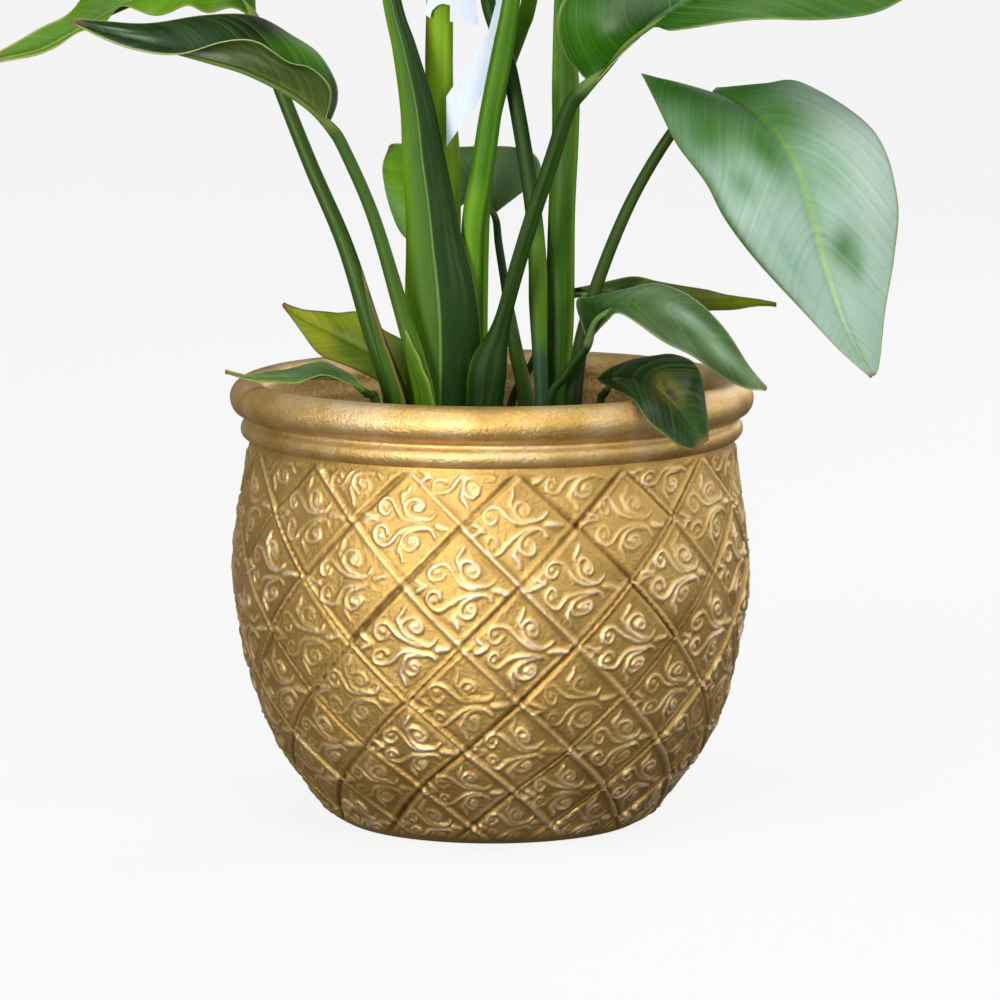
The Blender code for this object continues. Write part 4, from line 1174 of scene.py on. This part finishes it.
def make_stalk(leaf, number, finish):
    """A leaf stalk with its channel and pale margins, which runs on as the blade's tapering midrib."""
    look = STALK_LOOKS[leaf]
    base, low = paint(*look["colour"]), paint(*look["low"])
    stripes = [(centre, width, paint(*colour), strength, first, last)
               for centre, width, colour, strength, first, last in look.get("stripes", ())]
    rib = mixed(paint(*BLADE_LOOKS[leaf]["under"]), paint(150, 178, 92), 0.25)
    rows = [Vector(row) for row in STALKS[leaf]]
    stalk_end = len(rows) - 1
    blade = [[Vector(point) for point in row] for row in leaf_rows(leaf)]
    neck_width = rows[-1].w
    for step in range(1, look.get("midrib", len(blade))):
        midrib, far, near = blade[step]
        ahead = blade[min(step + 1, len(blade) - 1)][0] - blade[step - 1][0]
        below = (near - far).cross(ahead).normalized()
        below *= -1 if below.z > 0 else 1
        half = min(neck_width, 2.6) * (1 - step / len(blade)) ** 0.8 * 0.6 + 0.2
        rows.append(Vector((*(midrib + below * (half * 0.8 + 0.9)), half)))
    sides = look.get("sides", USUAL_STALK_SIDES)
    depth = STALK_DEPTH.get(leaf, USUAL_STALK_DEPTH)
    rings = STALK_RINGS_PER_ROW * (len(rows) - 1)
    bm = bmesh.new()
    bmesh.ops.create_cone(bm, cap_ends=True, segments=sides, radius1=1, radius2=1, depth=1)
    uprights = [edge for edge in bm.edges if abs(edge.verts[0].co.z - edge.verts[1].co.z) > 0.5]
    bmesh.ops.subdivide_edges(bm, edges=uprights, cuts=rings)
    grain_layer = bm.verts.layers.float_vector.new("Grain")
    tint = bm.verts.layers.float_color.new("Tint")
    frames = {}
    right = Vector((1, 0, 0))
    for vert in bm.verts:
        key = round((vert.co.z + 0.5) * (rings + 1))
        if key not in frames:
            place = within(key / (rings + 1))
            ahead = on_curve(rows, min(place + 0.004, 1)) - on_curve(rows, max(place - 0.004, 0))
            tangent = ahead.to_3d().normalized()
            across = (right - tangent * tangent.dot(right)).normalized()
            frames[key] = (place, on_curve(rows, place), across, tangent.cross(across))
        place, middle, across, through = frames[key]
        angle = math.atan2(vert.co.y, vert.co.x)
        on_stalk = place * (len(rows) - 1) / stalk_end
        body = within((1.04 - on_stalk) / 0.08)
        size = 1.0
        for centre, width, dent in look.get("dents", DENTS):
            size -= body * dent * bell(degrees_off(angle, centre), width)
        half = middle.w * size
        deep = half * (depth * body + (1 - body))
        vert.co = middle.to_3d() + across * (half * math.cos(angle)) + through * (deep * math.sin(angle))
        height = middle.z
        colour = mixed(low, base, (height - 235) / 70)
        colour = mixed(mixed(colour, rib, 0.75), colour, body)
        if "split" in look:
            off = degrees_off(angle, look["split"][0])
            colour = mixed(colour, paint(*look["split"][1]), body * within(off / 2) * (off < 110))
        for centre, width, stripe, strength, first, last in stripes:
            inside = within((height - first) / 14) * within((last - height) / 14)
            colour = mixed(colour, stripe, strength * inside * bell(degrees_off(angle, centre), width))
        vert[tint] = colour
        vert[grain_layer] = (0.5 * math.cos(angle), 0.5 * math.sin(angle), height * MM + number)
    bmesh.ops.recalc_face_normals(bm, faces=bm.faces)
    finish_piece(bm, f"petiole_{leaf}", [finish], [f"stalk_{leaf}"])


def make_sheaths(finish):
    """Sheath flaps with a brown or a pale right margin, over the feet of the left stalks."""
    for name, rows, colour, margin in SHEATHS:
        bm = bmesh.new()
        bmesh.ops.create_grid(bm, x_segments=12, y_segments=44, size=0.5)
        left, right = [[Vector(point) for point in line] for line in zip(*rows)]
        grain_layer = bm.verts.layers.float_vector.new("Grain")
        tint = bm.verts.layers.float_color.new("Tint")
        inner, outer = paint(*colour), paint(*margin)
        for vert in bm.verts:
            place, across = within(vert.co.y + 0.5), vert.co.x + 0.5
            start, end = on_curve(left, place), on_curve(right, place)
            curl = math.sin(math.pi * across) * 0.16 * (end - start).length
            vert.co = start.lerp(end, across) + Vector((0.25 * math.sin(place * 23) * across, -curl, 0))
            to_margin = (1 - across) * (end - start).length
            vert[grain_layer] = (across * 0.6, len(name) * 0.3, vert.co.z * MM)
            vert[tint] = mixed(inner, outer, 0.95 * bell(to_margin, 1.5))
        sheath = finish_piece(bm, f"sheath_{name}", [finish])
        thicken(sheath, "Sheath thickness", SHEATH_THICKNESS)


def make_plant():
    upper = leaf_finish("glossy upper leaf skin", "Tint", 0.40)
    under = leaf_finish("waxy grey green leaf back", "Under tint", 0.5)
    stalk = stalk_finish()
    for number, leaf in enumerate(STALKS):
        make_stalk(leaf, number, stalk)
        make_blade(leaf, number, [upper, under])
    make_sheaths(stalk)


# ---------------------------------------------------------------- label


def make_label_piece(name, outline, front, finish, node, middle, bend):
    """A thin card cut to the outline of (x, z) and bent back round a stalk."""
    bm = bmesh.new()
    bm.faces.new([bm.verts.new((x, front, z)) for x, z in outline])
    xs, zs = zip(*outline)
    across, up = Vector((1, 0, 0)), Vector((0, 0, 1))
    cuts = [(across, cut) for cut in np.arange(min(xs) + 2, max(xs), 2.5)]
    cuts += [(up, cut) for cut in np.arange(min(zs) + 3, max(zs), 6)]
    for facing, cut in cuts:
        whole = bm.verts[:] + bm.edges[:] + bm.faces[:]
        bmesh.ops.bisect_plane(bm, geom=whole, plane_co=facing * cut, plane_no=facing)
    for vert in bm.verts:
        vert.co.y += (vert.co.x - middle) ** 2 / bend + 0.25 * math.sin(vert.co.z / 9)
    if bm.faces[:][0].normal.y > 0:
        bmesh.ops.reverse_faces(bm, faces=bm.faces)
    card = finish_piece(bm, name, [finish], [node])
    card.data.shade_flat()
    thicken(card, "Card thickness", CARD_THICKNESS, offset=-1)


def make_label():
    card = paper_finish()
    make_label_piece("label_collar", CARD_OUTLINE, CARD_FRONT, card, "label_card", -24, 120)
    make_label_piece("label_strip", TAIL_OUTLINE, TAIL_FRONT, card, "label_tail", -5, 400)


# ---------------------------------------------------------------- studio


def make_studio():
    bm = bmesh.new()
    bmesh.ops.create_grid(bm, x_segments=12, y_segments=12, size=40)
    bmesh.ops.translate(bm, verts=bm.verts, vec=(0, 22, -0.0006))
    mesh = bpy.data.meshes.new("studio_floor")
    bm.to_mesh(mesh)
    bm.free()
    floor = bpy.data.objects.new("studio_floor", mesh)
    mesh.materials.append(floor_finish())
    bpy.context.scene.collection.objects.link(floor)
    floor.visible_diffuse = False
    floor.visible_glossy = False

    world = bpy.data.worlds.new("soft studio")
    bpy.context.scene.world = world
    world.use_nodes = True
    tree = world.node_tree
    facing = add(tree, "TexCoord").outputs["Generated"]
    parts = add(tree, "SeparateXYZ", Vector=facing).outputs
    level = ramp(tree, parts["Z"], -0.9, 0.0, 0.12, 1.0)
    side = ramp(tree, parts["Y"], -0.8, 0.2, 1.0, 0.4)
    set_up(tree, tree.nodes["Background"], Color=product(tree, level, side), Strength=WORLD_STRENGTH)
    for name, place, target, size, power, colour in LAMPS:
        data = bpy.data.lights.new(name, "AREA")
        data.shape, data.size, data.size_y = "RECTANGLE", size[0], size[1]
        data.energy, data.color = power, colour
        lamp = bpy.data.objects.new(name, data)
        lamp.location = place
        lamp.rotation_euler = (Vector(target) - Vector(place)).to_track_quat("-Z", "Y").to_euler()
        bpy.context.scene.collection.objects.link(lamp)
    camera_data = bpy.data.cameras.new("camera")
    camera_data.lens = CAMERA_LENS
    camera_data.sensor_width = 36
    camera_data.clip_end = 100
    camera = bpy.data.objects.new("camera", camera_data)
    camera.location = CAMERA_PLACE
    camera.rotation_euler = (math.radians(CAMERA_TILT), 0, 0)
    bpy.context.scene.collection.objects.link(camera)
    bpy.context.scene.camera = camera
    bpy.context.scene.view_settings.view_transform = "Standard"


make_pot()
make_soil()
root_bark = peat_finish("fibrous root bark", paint(92, 66, 38), paint(170, 134, 84))
for material_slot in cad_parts["rootstock"].material_slots:
    material_slot.material = root_bark
make_plant()
make_label()
make_studio()
